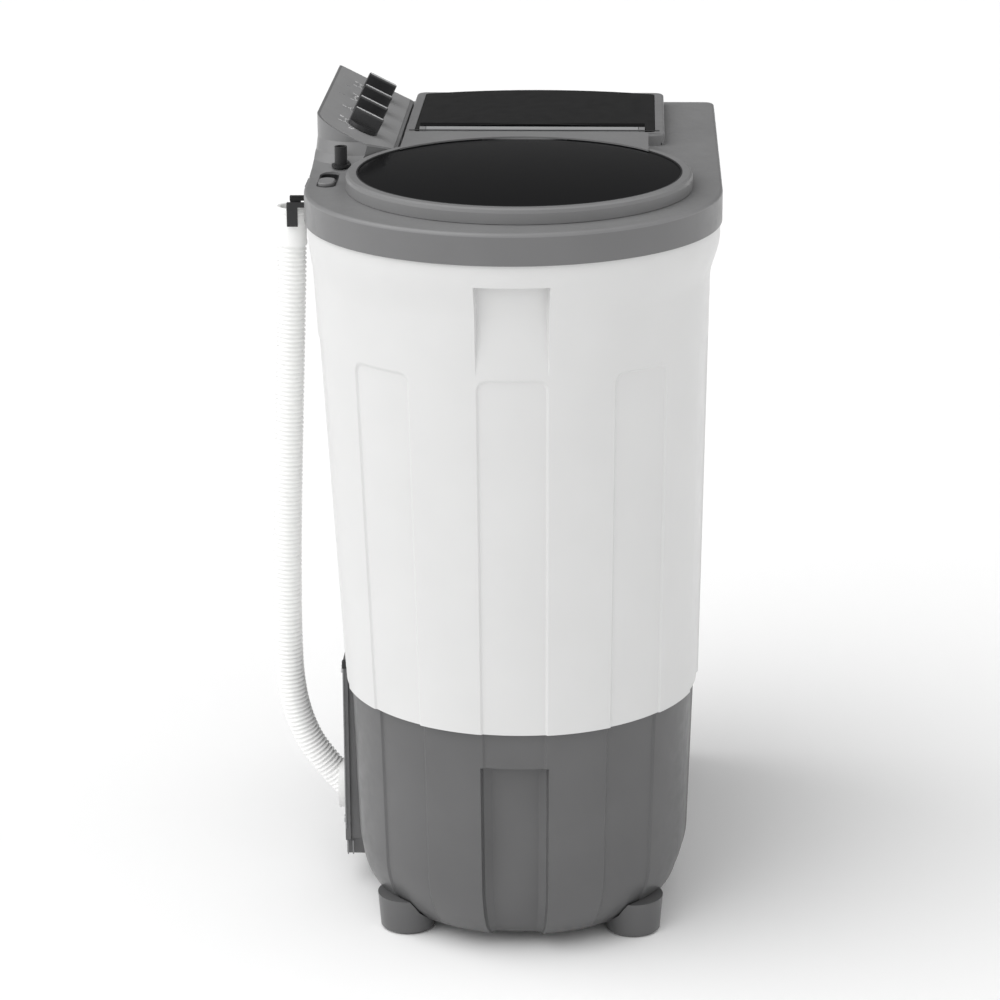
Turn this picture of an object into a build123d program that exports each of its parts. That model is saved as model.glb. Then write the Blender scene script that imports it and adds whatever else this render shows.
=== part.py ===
from build123d import *
import os
from math import atan, atan2, cos, degrees, hypot, pi, radians, sin, tan

# Compact twin-tub washing machine.  Millimetres, +Z up, origin at the centre of the footprint on the
# floor.  +X runs along the machine from the wash tub (-X end, round) to the spin tub (+X end, square).
# The user stands on the -Y side; the control panel, rear cover and drain hose are on the +Y side.

# ---- driving dimensions ------------------------------------------------------------------------------
LENGTH = 711.0            # overall, along X
DEPTH = 457.0             # overall, along Y
DECK_Z = 840.0            # top of the deck above the floor
BAND = 34.5               # height of the grey band round the deck
WALL = 3.5                # moulded wall
SEAM_Z = 276.0            # seam between the white body and the grey base
BASE_Z = 10.0             # underside of the base, above the floor
DECK_FILLET = 4.0

NEAR_X = -LENGTH / 2
FAR_X = LENGTH / 2
DECK_R = DEPTH / 2        # the wash end of the deck is a half circle
DECK_CX = NEAR_X + DECK_R
DECK_CORNER = 12.0

TUB_X = -126.0            # axis of the wash tub, its lid and its pulsator
TUB_Y = -6.5
SPIN_X = 214.0            # axis of the spin tub and basket
SPIN_Y = -14.5

# outline sections of the casing: height, half width, centre x, centre y, far end x, far corner radius
BODY_SECTIONS = [
    (SEAM_Z, 201.5, -131.0, -7.5, 331.0, 60.0),
    (745.0, 218.0, -127.0, 2.0, 344.0, 60.0),
    (790.0, 223.0, -127.0, 0.5, 349.0, 40.0),
    (DECK_Z - BAND, 224.0, -127.0, 0.5, 350.5, 30.0),
]
BASE_TOP = (SEAM_Z, 196.0, -129.0, -8.0, 326.0, 62.0)
BASE_SIDE = (96.0, 190.5, -129.0, -8.0, 320.5, 62.0)
BOWL_IN = 58.0            # how far the bowl-like bottom draws in
BOWL_STEPS = 5

PANEL_PITCH = 40.5        # recessed panels round the wash end, degrees between centres
PANEL_HALF = 10.3         # half width of a panel, degrees
PANEL_DEPTH = 1.8
PANEL_TOP_Z = 680.0
PANEL_LOW_Z = 78.0
PANEL_W = 76.0
SIDE_PANELS_X = (-10.0, 130.0, 268.0)
GRIP_TOP_Z = 781.0
GRIP_LOW_Z = 684.0
GRIP_DEPTH = 15.0
POCKET_TOP_Z = 233.0
POCKET_DEPTH = 17.0

LID_R = 189.4             # outer radius of the round wash lid
GLASS_R = 177.0
LID_H = 17.0              # height of the lid ring above the deck
GAP = 0.5                 # free space between parts that move past each other
WASH_HOLE_R = 168.0
SPIN_HOLE_R = 110.0
WASH_HINGE_X = TUB_X + 203.0
WASH_HINGE_Z = DECK_Z + 9.0
LUG_Y = (TUB_Y - 121.0, TUB_Y + 118.0)
PIN_R = 2.5
PIN_CLEAR = 0.08          # radial running clearance of every pin and shaft

SURROUND = (TUB_X + 214.0, TUB_X + 466.0, TUB_Y - 160.0, TUB_Y + 141.0)  # spin lid surround: x, x, y, y
SURROUND_W = 11.0
SURROUND_H = 14.0
SPIN_HINGE_X = TUB_X + 236.5
SPIN_HINGE_Z = DECK_Z + 12.0
HINGE_Y = (TUB_Y - 137.0, TUB_Y + 124.0)

PANEL_FRONT_Y = TUB_Y + 144.0   # control housing: front edge, back, near and far ends
PANEL_BACK_Y = TUB_Y + 232.0
PANEL_TIP_X = TUB_X + 84.0
PANEL_HEEL_X = TUB_X + 130.0
PANEL_FAR_X = TUB_X + 422.0
LID_CLEAR_R = LID_R + 3.0
PANEL_LIP = 11.0          # height of the front edge of the face above the deck
PANEL_SLOPE = 0.505       # rise of the face towards the back
KNOB_X = [TUB_X + d for d in (152.0, 219.0, 287.0, 359.0)]
KNOB_Y = TUB_Y + 184.0
KNOB_R = 18.0
KNOB_H = 19.0
SPINDLE_R = 3.0
NOZZLE = (TUB_X + 63.0, TUB_Y + 200.5)
NOZZLE_BASE = DECK_Z + 7.0
SLOT = (TUB_X + 20.0, TUB_Y + 211.5)
SLOT_SIZE = (64.0, 19.0)

TUB_TOP_R = 174.0
TUB_LOW_R = 162.0
TUB_LOW_Z = 345.0
TUB_WALL = 2.5
SPIN_TUB_R = 115.0
SPIN_TUB_LOW_Z = 430.0
BASKET_R = 103.0
BASKET_LOW_Z = 446.0
BASKET_TOP_Z = 812.0
FLOOR_Z = 90.0            # plate that the motors stand on
PULLEY_Z = 262.0
PULLEY_R = 70.0
MOTOR_PULLEY_R = 18.0
MOTOR_AT = (TUB_X + 104.0, TUB_Y + 70.0)
BELT_T = 5.0

FEET_AT = [(x, y) for x in (TUB_X - 97.0, 232.0) for y in (TUB_Y - 130.5, TUB_Y + 126.0)]
FOOT_R = 31.0

COVER = (TUB_X + 6.0, 268.0, 56.0, 279.0)    # rear cover: x, x, z, z
COVER_Y = TUB_Y + 205.5
HOSE_X = TUB_X + 50.0
HOSE_R = 16.5
SPIGOT_Z = 112.0
# route of the drain hose, (y, z) from the spigot up the back to the end cuff
HOSE_ROUTE = [(208.0, 113.0), (238.0, 147.0), (258.7, 186.0), (270.0, 235.0), (272.0, 303.0),
              (269.5, 424.0), (264.0, 562.0), (259.0, 678.0), (256.8, 732.0), (255.8, 768.0)]
CUFF_TOP_Z = 806.0


# ---- small helpers -----------------------------------------------------------------------------------
def save(shape, node):
    """Write one node."""
    export_step(shape, f"parts/{node}.step")


def cyl(r, z0, z1, x=0.0, y=0.0):
    """Upright cylinder between two heights."""
    return Pos(x, y, (z0 + z1) / 2) * Cylinder(r, z1 - z0)


def tube(r_out, r_in, z0, z1, x=0.0, y=0.0):
    """Upright tube between two heights."""
    return cyl(r_out, z0, z1, x, y) - cyl(r_in, z0 - 1, z1 + 1, x, y)


def block(x0, x1, y0, y1, z0, z1):
    """Box between two corners."""
    return Pos((x0 + x1) / 2, (y0 + y1) / 2, (z0 + z1) / 2) * Box(x1 - x0, y1 - y0, z1 - z0)


def rod_y(r, x, z, y0, y1):
    """Round bar along Y."""
    return Pos(x, (y0 + y1) / 2, z) * Rot(90, 0, 0) * Cylinder(r, y1 - y0)


def rod_x(r, y, z, x0, x1):
    """Round bar along X."""
    return Pos((x0 + x1) / 2, y, z) * Rot(0, 90, 0) * Cylinder(r, x1 - x0)


def turned(points, x=0.0, y=0.0):
    """Solid of revolution about an upright axis, from (radius, height) corner points."""
    face = make_face(Polyline([(r, 0, z) for r, z in points] + [(points[0][0], 0, points[0][1])]))
    return Pos(x, y, 0) * revolve(face, Axis.Z, 360)


def outline(z, r, cx, cy, far, corner, inset=0.0):
    """Plan of the casing at one height: half circle at the wash end, rounded corners at the other."""
    r, far, c = r - inset, far - inset, max(corner - inset, 3.0)
    low, high = cy - r, cy + r
    k = c * (1 - cos(pi / 4))
    lines = [
        Line((cx, low), (far - c, low)),
        ThreePointArc((far - c, low), (far - k, low + k), (far, low + c)),
        Line((far, low + c), (far, high - c)),
        ThreePointArc((far, high - c), (far - k, high - k), (far - c, high)),
        Line((far - c, high), (cx, high)),
        ThreePointArc((cx, high), (cx - r, cy), (cx, low)),
    ]
    return Pos(0, 0, z) * make_face(Curve() + lines)


def stack(sections, inset=0.0):
    """Solid through a list of outline sections."""
    return loft([outline(*s, inset=inset) for s in sections], ruled=True)


def blend(a, b, z):
    """Outline section between two others, by height."""
    t = (z - a[0]) / (b[0] - a[0])
    return (z,) + tuple(p + t * (q - p) for p, q in zip(a[1:], b[1:]))


def radial_prism(angle, half_width, z0, z1, r=260.0):
    """Wedge-sided prism that cuts the rounded wash end over a range of angles (0 is straight out to -X)."""
    a0, a1 = radians(180 - angle - half_width), radians(180 - angle + half_width)
    cx, cy = TUB_X, TUB_Y
    tri = Polyline((cx, cy), (cx + r * cos(a0), cy + r * sin(a0)), (cx + r * cos(a1), cy + r * sin(a1)), (cx, cy))
    return Pos(0, 0, z0) * extrude(make_face(tri), z1 - z0)


def base_sections():
    """Sections of the base from its flat bottom up through the bowl to the seam."""
    rows = []
    side_z, r, cx, cy, far, corner = BASE_SIDE
    for i in range(BOWL_STEPS):
        turn = radians(90 * i / BOWL_STEPS)
        drawn = BOWL_IN * (1 - sin(turn))
        z = side_z - (side_z - BASE_Z) * cos(turn)
        rows.append((z, r - drawn, cx, cy, far - drawn, max(corner - drawn, 4.0)))
    return rows + [BASE_SIDE, BASE_TOP]


def panel_cutters(outer, inner, z0, z1, angles):
    """Shallow recessed panels in a casing wall."""
    skin = outer - inner
    cutters = [skin & radial_prism(a, PANEL_HALF, z0, z1) for a in angles]
    for x in SIDE_PANELS_X:
        cutters.append(skin & block(x - PANEL_W / 2, x + PANEL_W / 2, -260, -150, z0, z1))
    return cutters


# ---- casing ------------------------------------------------------------------------------------------
def make_base_shell():
    """Grey base: bowl-like bottom, recessed panels and the deep pocket at the wash end."""
    rows = base_sections()
    outer = stack(rows)
    inner_rows = [(z + (WALL if z < BASE_Z + 1 else 0),) + tuple(v) for z, *v in rows]
    inner = stack(inner_rows, WALL) + Pos(0, 0, SEAM_Z) * extrude(outline(0, *BASE_TOP[1:], inset=WALL), 1)
    pocket = radial_prism(0, 11.0, BASE_Z - 1, POCKET_TOP_Z) - cyl(191.0 - POCKET_DEPTH, 0, 300, TUB_X, TUB_Y)
    wall = radial_prism(0, 11.9, BASE_Z - 1, POCKET_TOP_Z + WALL)
    wall -= cyl(191.0 - POCKET_DEPTH - WALL, 0, 300, TUB_X, TUB_Y)
    shell = (outer - pocket) - (inner - wall)
    shallow = stack(rows, PANEL_DEPTH)
    for c in panel_cutters(outer, shallow, PANEL_LOW_Z, SEAM_Z + 1, [s * k * PANEL_PITCH for s in (-1, 1) for k in (1, 2)]):
        shell -= c
    for x, y in FEET_AT:
        shell -= cyl(4.2, 0, 60, x, y)
    shell -= block(COVER[0] + 14, COVER[1] - 14, 150, 240, COVER[2] + 40, SEAM_Z + 2)
    shell -= Pos(HOSE_X, TUB_Y + 195, SPIGOT_Z) * Rot(90, 0, 0) * Cylinder(14.5, 40)
    return shell


def make_body_shell():
    """White body: flared rim, recessed panels and the grip recess at the wash end."""
    outer = stack(BODY_SECTIONS)
    inner = stack(BODY_SECTIONS, WALL)
    grip = radial_prism(0, PANEL_HALF, GRIP_LOW_Z, GRIP_TOP_Z)
    back = loft([Pos(TUB_X, TUB_Y, GRIP_LOW_Z - 1) * Circle(212.0), Pos(TUB_X, TUB_Y, GRIP_TOP_Z + 1) * Circle(219.0 - GRIP_DEPTH)])
    wall = radial_prism(0, PANEL_HALF + 1.0, GRIP_LOW_Z - 30, GRIP_TOP_Z + WALL)
    wall -= loft([Pos(TUB_X, TUB_Y, GRIP_LOW_Z - 31) * Circle(210.0), Pos(TUB_X, TUB_Y, GRIP_TOP_Z + 5) * Circle(215.0 - GRIP_DEPTH)])
    shell = (outer - (grip - back)) - (inner - wall)
    shallow = stack(BODY_SECTIONS, PANEL_DEPTH)
    for c in panel_cutters(outer, shallow, SEAM_Z - 1, PANEL_TOP_Z, [k * PANEL_PITCH for k in range(-2, 3)]):
        shell -= c
    shell -= block(-60, 250, 180, 260, 330, 700)
    return shell


def make_top_frame():
    """Grey deck with its band, the two tub openings, the selector slot and the nozzle hole."""
    plan = (0, DECK_R, DECK_CX, 0.0, FAR_X, DECK_CORNER)
    deck = Pos(0, 0, DECK_Z - BAND) * extrude(outline(*plan), BAND)
    deck = fillet(deck.faces().sort_by(Axis.Z)[-1].edges(), DECK_FILLET)
    deck -= Pos(0, 0, DECK_Z - BAND - 1) * extrude(outline(*plan, inset=WALL), BAND + 1 - WALL)
    deck -= cyl(WASH_HOLE_R, 800, 900, TUB_X, TUB_Y) + cyl(SPIN_HOLE_R, 800, 900, SPIN_X, SPIN_Y)
    deck -= Pos(*SLOT, DECK_Z) * extrude(SlotOverall(*SLOT_SIZE), 20, both=True)
    deck -= cyl(7.3, 800, 900, *NOZZLE)
    deck -= block(PANEL_HEEL_X - 10, PANEL_FAR_X - 25, PANEL_FRONT_Y + 16, PANEL_BACK_Y - 16, 800, 900)
    slot_wall = Pos(*SLOT, DECK_Z - 9) * extrude(SlotOverall(SLOT_SIZE[0] + 4, SLOT_SIZE[1] + 4), 7)
    slot_wall -= Pos(*SLOT, DECK_Z - 7) * extrude(SlotOverall(*SLOT_SIZE), 20)
    slot_wall -= Pos(*SLOT, DECK_Z - 20) * extrude(SlotOverall(46, 6.6), 20)
    return deck + slot_wall + make_lid_bridge()


def housing_plan(grow=0.0):
    """Plan of the control housing: straight front and back edges and a rounded near end."""
    y0, y1 = PANEL_FRONT_Y - grow * 0.03, PANEL_BACK_Y + grow * 0.1
    x1 = PANEL_FAR_X + grow * 0.2
    tip = (PANEL_TIP_X - grow, (y0 + y1) / 2)
    lines = [
        Line((PANEL_HEEL_X, y0), (x1 - 4, y0)),
        ThreePointArc((x1 - 4, y0), (x1 - 1.2, y0 + 1.2), (x1, y0 + 4)),
        Line((x1, y0 + 4), (x1, y1 - 4)),
        ThreePointArc((x1, y1 - 4), (x1 - 1.2, y1 - 1.2), (x1 - 4, y1)),
        Line((x1 - 4, y1), (PANEL_HEEL_X, y1)),
        ThreePointArc((PANEL_HEEL_X, y1), tip, (PANEL_HEEL_X, y0)),
    ]
    return make_face(Curve() + lines)


def face_height(y, lift=0.0):
    """Height of the sloped control face at a depth y."""
    return DECK_Z + PANEL_LIP + PANEL_SLOPE * (y - PANEL_FRONT_Y) + lift


def slope_block(lift, low):
    """Everything between a level and the plane of the sloped control face."""
    y0, y1 = PANEL_FRONT_Y - 10, PANEL_BACK_Y + 20
    side = Polyline((0, y0, low), (0, y1, low), (0, y1, face_height(y1, lift)), (0, y0, face_height(y0, lift)), (0, y0, low))
    return extrude(make_face(side), 700, dir=(1, 0, 0), both=True)


FACE = Plane(origin=(0, KNOB_Y, face_height(KNOB_Y)), x_dir=(1, 0, 0), z_dir=(0, -PANEL_SLOPE, 1))


def on_face(x, along=0.0, up=0.0):
    """Place on the sloped face: x along the machine, distance up the slope, height off the face."""
    return FACE.location * Pos(x, along, up)


def make_control_housing():
    """Sloped housing whose rounded near end sweeps down to the deck in a hollow curve."""
    flare = [(0.0, 60.0), (3.0, 36.0), (8.0, 18.0), (16.0, 7.0), (30.0, 0.0)]
    body = Pos(0, 0, DECK_Z) * extrude(housing_plan(), 70)
    for (z0, g0), (z1, g1) in zip(flare, flare[1:]):
        ring = loft([Pos(0, 0, DECK_Z + z0) * housing_plan(g0), Pos(0, 0, DECK_Z + z1) * housing_plan(g1)], ruled=True)
        body += ring
    body &= slope_block(0, DECK_Z)
    body &= Pos(0, 0, DECK_Z) * extrude(outline(0, DECK_R, DECK_CX, 0.0, FAR_X, DECK_CORNER, inset=1.0), 70)
    inner = Pos(0, 0, DECK_Z - 1) * extrude(offset(housing_plan(), -WALL), 70) - cyl(LID_CLEAR_R + WALL, 800, 950, TUB_X, TUB_Y)
    body -= inner & slope_block(-WALL, DECK_Z - 2)
    body -= cyl(LID_CLEAR_R, 800, 950, TUB_X, TUB_Y) + cyl(7.3, 800, 950, *NOZZLE)
    body -= cyl(11.5, NOZZLE_BASE, 950, *NOZZLE)
    body -= Pos(*SLOT, DECK_Z - 5) * extrude(SlotOverall(SLOT_SIZE[0] + 3, SLOT_SIZE[1] + 3), 60)
    for x in KNOB_X:
        body -= on_face(x) * Cylinder(SPINDLE_R + 1.2, 30)
    return body


def make_fascia():
    """Thin printed plate on the sloped face."""
    skin = Pos(0, 0, DECK_Z - 1) * extrude(offset(housing_plan(), -3.0), 90) - cyl(LID_CLEAR_R + 3, 800, 950, TUB_X, TUB_Y)
    plate = skin & (slope_block(0.8, DECK_Z) - slope_block(0, DECK_Z - 2))
    for x in KNOB_X:
        plate -= on_face(x) * Cylinder(SPINDLE_R + 1.2, 30)
    return plate


def make_rear_cover():
    """Dark service cover on the back of the base, with a stepped foot and louvres."""
    x0, x1, z0, z1 = COVER
    y_in = COVER_Y - 6.0
    cover = block(x0, x1, y_in, COVER_Y, z0, z1)
    cover = fillet(cover.edges().filter_by(Axis.Y), 4)
    cover += block(x0 + 6, x1 - 6, TUB_Y + 180, COVER_Y - 1, z0 - 17, z0 + 12)
    rim = block(x0 + 3, x1 - 3, TUB_Y + 180, y_in + 0.5, z0 + 3, z1 - 3)
    cover += rim - block(x0 + 6, x1 - 6, TUB_Y + 170, y_in, z0 + 6, z1 - 6)
    for i in range(9):
        cover -= block(60, 220, COVER_Y - 20, COVER_Y + 1, 90 + i * 14, 95 + i * 14)
    cover -= Pos(HOSE_X, COVER_Y, SPIGOT_Z) * Rot(90, 0, 0) * Cylinder(30.5, 80)
    skin = stack(base_sections(), 0) + stack(BODY_SECTIONS, 0)
    cover -= Pos(x1 - 30, COVER_Y, z0 + 36) * Rot(90, 0, 0) * Cylinder(8.0, 30)
    return cover - skin


def make_rear_panel():
    """Thin plate that closes the service opening in the back of the white body."""
    plate = block(-70, 260, TUB_Y + 190, TUB_Y + 240, 320, 710)
    skin = stack(BODY_SECTIONS, -1.6) - stack(BODY_SECTIONS, 0)
    return plate & skin


# ---- lids --------------------------------------------------------------------------------------------
def make_wash_ring():
    """Ring of the round wash lid, with a soft top edge and a shallow skirt."""
    z0 = DECK_Z + GAP
    profile = [(GLASS_R - 4.5, z0 + 9), (GLASS_R - 4.5, z0 + 11), (GLASS_R, z0 + 11), (GLASS_R, DECK_Z + LID_H),
               (LID_R - 3.5, DECK_Z + LID_H), (LID_R - 1, DECK_Z + LID_H - 1.5), (LID_R, DECK_Z + LID_H - 5),
               (LID_R, z0), (LID_R - 3, z0), (LID_R - 3, z0 + 9)]
    ring = turned(profile, TUB_X, TUB_Y)
    return ring - block(TUB_X + 171.0, TUB_X + 260, TUB_Y - 260, TUB_Y + 260, DECK_Z - 5, DECK_Z + 40)


def make_wash_glass():
    """Slightly domed black glass of the wash lid."""
    z0 = DECK_Z + 12.0
    crown = 5.0
    r = GLASS_R - 0.3
    sphere_r = (r * r + crown * crown) / (2 * crown)
    dome = Pos(TUB_X, TUB_Y, z0 + 4.0 + crown - sphere_r) * Sphere(sphere_r)
    glass = cyl(r, z0, z0 + 12, TUB_X, TUB_Y) & dome
    return glass - block(TUB_X + 171.0, TUB_X + 260, TUB_Y - 260, TUB_Y + 260, DECK_Z, DECK_Z + 40)


def make_wash_hinge_strip():
    """Arched strip that closes the far edge of the wash lid and carries its hinge barrel."""
    z0, z1 = DECK_Z + 11.0, DECK_Z + 18.8
    span = block(TUB_X + 60, WASH_HINGE_X - 5, TUB_Y - 141, TUB_Y + 138, z0, z1)
    strip = span - cyl(GLASS_R + 0.2, z0 - 5, z1 - 2.5, TUB_X, TUB_Y) - cyl(GLASS_R - 3, z0 - 5, z1 + 5, TUB_X, TUB_Y)
    strip -= tube(LID_R + 0.2, GLASS_R - 8, z0 - 5, DECK_Z + LID_H + 0.1, TUB_X, TUB_Y) & block(
        TUB_X, TUB_X + 171.2, TUB_Y - 260, TUB_Y + 260, z0 - 5, z1)
    barrel = rod_y(6.5, WASH_HINGE_X, WASH_HINGE_Z, TUB_Y - 110, TUB_Y + 107)
    neck = block(WASH_HINGE_X - 12, WASH_HINGE_X, TUB_Y - 110, TUB_Y + 107, WASH_HINGE_Z - 2, z0 + 2)
    web = block(TUB_X + 171.2, WASH_HINGE_X - 2, TUB_Y - 80, TUB_Y + 78, z0, z1 - 2.5)
    strip = strip + neck + barrel + web
    strip -= cyl(GLASS_R + 0.2, z0 - 5, z1 - 2.5, TUB_X, TUB_Y) & block(
        TUB_X, TUB_X + 171.2, TUB_Y - 260, TUB_Y + 260, z0 - 5, z1)
    for y in LUG_Y:
        strip -= rod_y(7.4, WASH_HINGE_X, WASH_HINGE_Z, y - 9, y + 9)
    return strip - rod_y(PIN_R + PIN_CLEAR, WASH_HINGE_X, WASH_HINGE_Z, TUB_Y - 150, TUB_Y + 150)


def make_lid_bridge():
    """Fixed bridge between the lids, with the lugs that hold the wash lid's hinge pin."""
    bridge = block(TUB_X + 186, TUB_X + 213, TUB_Y - 134, TUB_Y + 131, DECK_Z, DECK_Z + 1.6)
    for y in LUG_Y:
        lug = block(WASH_HINGE_X - 6, WASH_HINGE_X + 6, y - 8, y + 8, DECK_Z, WASH_HINGE_Z)
        lug += rod_y(6, WASH_HINGE_X, WASH_HINGE_Z, y - 8, y + 8)
        bridge += lug - rod_y(PIN_R, WASH_HINGE_X, WASH_HINGE_Z, y - 20, y + 20)
    return bridge


def make_spin_surround():
    """Raised surround of the spin lid with its fixed hinge bar."""
    x0, x1, y0, y1 = SURROUND
    outer = block(x0, x1, y0, y1, DECK_Z, DECK_Z + SURROUND_H)
    outer = fillet(outer.edges().filter_by(Axis.Z), 12)
    outer = fillet(outer.faces().sort_by(Axis.Z)[-1].edges(), 3)
    w = SURROUND_W
    opening = block(x0 + w, x1 - w, y0 + w, y1 - w, DECK_Z - 5, DECK_Z + 40)
    opening = fillet(opening.edges().filter_by(Axis.Z), 5)
    rim = outer - opening
    rim -= block(x0 + 3, x1 - 3, y0 + 3, y1 - 3, DECK_Z - 5, DECK_Z + 3)
    for y in (HINGE_Y[0] + 3.5, HINGE_Y[1] - 3.5):
        lug = block(SPIN_HINGE_X - 12, SPIN_HINGE_X + 3, y - 3.5, y + 3.5, DECK_Z + 4, SPIN_HINGE_Z)
        lug += rod_y(5.5, SPIN_HINGE_X, SPIN_HINGE_Z, y - 3.5, y + 3.5)
        rim += lug - rod_y(PIN_R, SPIN_HINGE_X, SPIN_HINGE_Z, y - 20, y + 20)
    return rim


def make_spin_lid():
    """Black spin lid, crowned across the machine, notched round its hinge bar."""
    x0, x1, y0, y1 = SURROUND
    g = SURROUND_W + 0.6
    z0 = DECK_Z + 7.0
    slab = block(x0 + g, x1 - g, y0 + g, y1 - g, z0, z0 + 30)
    slab = fillet(slab.edges().filter_by(Axis.Z), 4)
    half, crown = (y1 - y0) / 2 - g, 5.0
    r = (half * half + crown * crown) / (2 * crown)
    slab &= rod_x(r, (y0 + y1) / 2, DECK_Z + SURROUND_H + crown - r, x0 - 10, x1 + 10)
    slab -= block(x0, SPIN_HINGE_X + 7.5, HINGE_Y[0] - 1, HINGE_Y[1] + 1, z0 - 5, z0 + 60)
    slab -= block(x0, SPIN_HINGE_X - 9.0, y0, y1, z0 - 5, z0 + 60)
    rib = rod_y(5.0, SPIN_HINGE_X + 15.0, SPIN_HINGE_Z + 2, HINGE_Y[0], HINGE_Y[1])
    skirt = block(x0 + g + 14, x1 - g - 4, y0 + g + 4, y1 - g - 4, DECK_Z + 2, z0 + 1)
    skirt -= block(SPIN_HINGE_X + 13, x1 - g - 8, y0 + g + 8, y1 - g - 8, DECK_Z, z0 + 5)
    skirt -= block(x0, SPIN_HINGE_X + 9.5, y0, y1, DECK_Z, z0 + 5)
    return slab + rib + skirt


def make_spin_barrel():
    """Moving hinge bar fixed along the edge of the spin lid."""
    y0, y1 = HINGE_Y[0] + 7.6, HINGE_Y[1] - 7.6
    barrel = rod_y(5.5, SPIN_HINGE_X, SPIN_HINGE_Z, y0, y1)
    barrel += block(SPIN_HINGE_X, SPIN_HINGE_X + 7.5, y0, y1, SPIN_HINGE_Z - 3, SPIN_HINGE_Z + 3)
    return barrel - rod_y(PIN_R + PIN_CLEAR, SPIN_HINGE_X, SPIN_HINGE_Z, y0 - 5, y1 + 5)


# ---- controls ----------------------------------------------------------------------------------------
def make_knob(x):
    """Round knob with a bar grip that runs up the slope and a stem into its switch."""
    base = Pos(0, 0, 1.4 + 2.5) * Cylinder(KNOB_R, 5.0)
    grip = Pos(0, 0, 1.4 + KNOB_H / 2) * Box(13.0, 2 * KNOB_R + 4, KNOB_H)
    grip &= Pos(0, 0, KNOB_H / 2) * Cylinder(KNOB_R, KNOB_H + 10)
    knob = base + grip
    knob = fillet(knob.faces().sort_by(Axis.Z)[-1].edges(), 1.5)
    knob += Pos(0, 0, -6.0) * Cylinder(SPINDLE_R, 20.0)
    knob -= Pos(0, 0, 1.4 + KNOB_H) * Box(3.0, 3 * KNOB_R, 1.6)
    return on_face(x) * knob


def make_pointer(x):
    """Bright strip let into the top of a knob's grip."""
    strip = Pos(0, 0, 1.4 + KNOB_H - 0.2) * Box(2.8, 2 * KNOB_R - 3, 1.2)
    return on_face(x) * strip


def make_switch_box(x, half):
    """Timer or switch under the face, with a clearance hole for the knob stem."""
    box = Pos(0, 0, -(WALL + 0.5) - 11.0) * Box(2 * half, 36, 22)
    box = fillet(box.edges().filter_by(Axis.Z), 3)
    return on_face(x) * (box - Pos(0, 0, -16.0) * Cylinder(SPINDLE_R + 0.06, 40))


def make_nozzle():
    """Upright black inlet spout with a collar, plugged through the deck."""
    x, y = NOZZLE
    spout = tube(7.0, 5.0, DECK_Z - 16, NOZZLE_BASE + 23, x, y)
    return spout + tube(10.5, 5.0, NOZZLE_BASE, NOZZLE_BASE + 3, x, y)


def make_selector():
    """Inlet selector: a finger slider in the deck slot with a stem through its floor."""
    x, y = SLOT
    x -= 14.0
    cap = Pos(x, y, DECK_Z - 1.2) * extrude(SlotOverall(32, SLOT_SIZE[1] - 1.2), 5.0, both=True)
    cap = fillet(cap.faces().sort_by(Axis.Z)[-1].edges(), 1.5)
    return cap + Pos(x, y, DECK_Z - 12) * Box(8, 5.4, 14)


# ---- wash side ---------------------------------------------------------------------------------------
def make_wash_tub():
    """Wash tub hung under the deck: tapered wall, dished bottom and a drain sump."""
    top, low = DECK_Z - WALL, TUB_LOW_Z
    t = TUB_WALL
    profile = [(12.0, low), (TUB_LOW_R - 18, low), (TUB_LOW_R, low + 18), (TUB_TOP_R, top - 8), (TUB_TOP_R + 9, top - 2.5),
               (TUB_TOP_R + 9, top), (WASH_HOLE_R + 2, top), (TUB_TOP_R - t, top - 8), (TUB_LOW_R - t, low + 18 + t),
               (TUB_LOW_R - 18 - t, low + t), (12.0, low + t)]
    tub = turned(profile, TUB_X, TUB_Y)
    x, y = TUB_X + 132.0, TUB_Y + 20.0
    return tub - cyl(9.0, low - 10, low + 10, x, y) + make_filter_rail()


def make_lint_filter():
    """Lint filter box that slides down into a rail on the tub wall."""
    y = TUB_Y + 152.0
    box = block(TUB_X - 30, TUB_X + 30, y - 12, y, 520, 700)
    box = fillet(box.edges().filter_by(Axis.Z), 4)
    box -= block(TUB_X - 27, TUB_X + 27, y - 9.5, y - 2.5, 523, 705)
    for i in range(8):
        box -= block(TUB_X - 22, TUB_X + 22, y - 20, y - 8, 540 + 17 * i, 549 + 17 * i)
    return box


def make_filter_rail():
    """Rails on the tub wall that guide the lint filter."""
    y0, y1 = TUB_Y + 139.0, TUB_Y + 175.0
    rail = block(TUB_X - 36, TUB_X + 36, y0, y1, 505, 690)
    rail -= block(TUB_X - 30.6, TUB_X + 30.6, y0 - 5, TUB_Y + 152.6, 519.4, 700)
    rail -= block(TUB_X - 26, TUB_X + 26, y0 - 5, y0 + 20, 530, 700)
    filled = turned([(0, TUB_LOW_Z), (TUB_LOW_R - 1, TUB_LOW_Z + 18), (TUB_TOP_R - 1, DECK_Z - 12), (0, DECK_Z - 12)], TUB_X, TUB_Y)
    return rail & filled


def make_pulsator():
    """Pulsator: dished disc with six curved vanes round a raised hub."""
    z0 = TUB_LOW_Z + TUB_WALL + 4.0
    profile = [(6.02, z0), (118, z0), (122, z0 + 4), (120, z0 + 9), (95, z0 + 8), (60, z0 + 14), (34, z0 + 30), (20, z0 + 36),
               (6.02, z0 + 36)]
    disc = turned(profile)
    for i in range(6):
        vane = loft([Pos(66, 0, z0 + 4) * Ellipse(50, 11), Pos(62, 0, z0 + 33) * Ellipse(36, 3)], ruled=True)
        disc += Rot(0, 0, 60 * i) * vane
    return Pos(TUB_X, TUB_Y, 0) * (disc - cyl(6.02, z0 - 1, z0 + 40))


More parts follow.
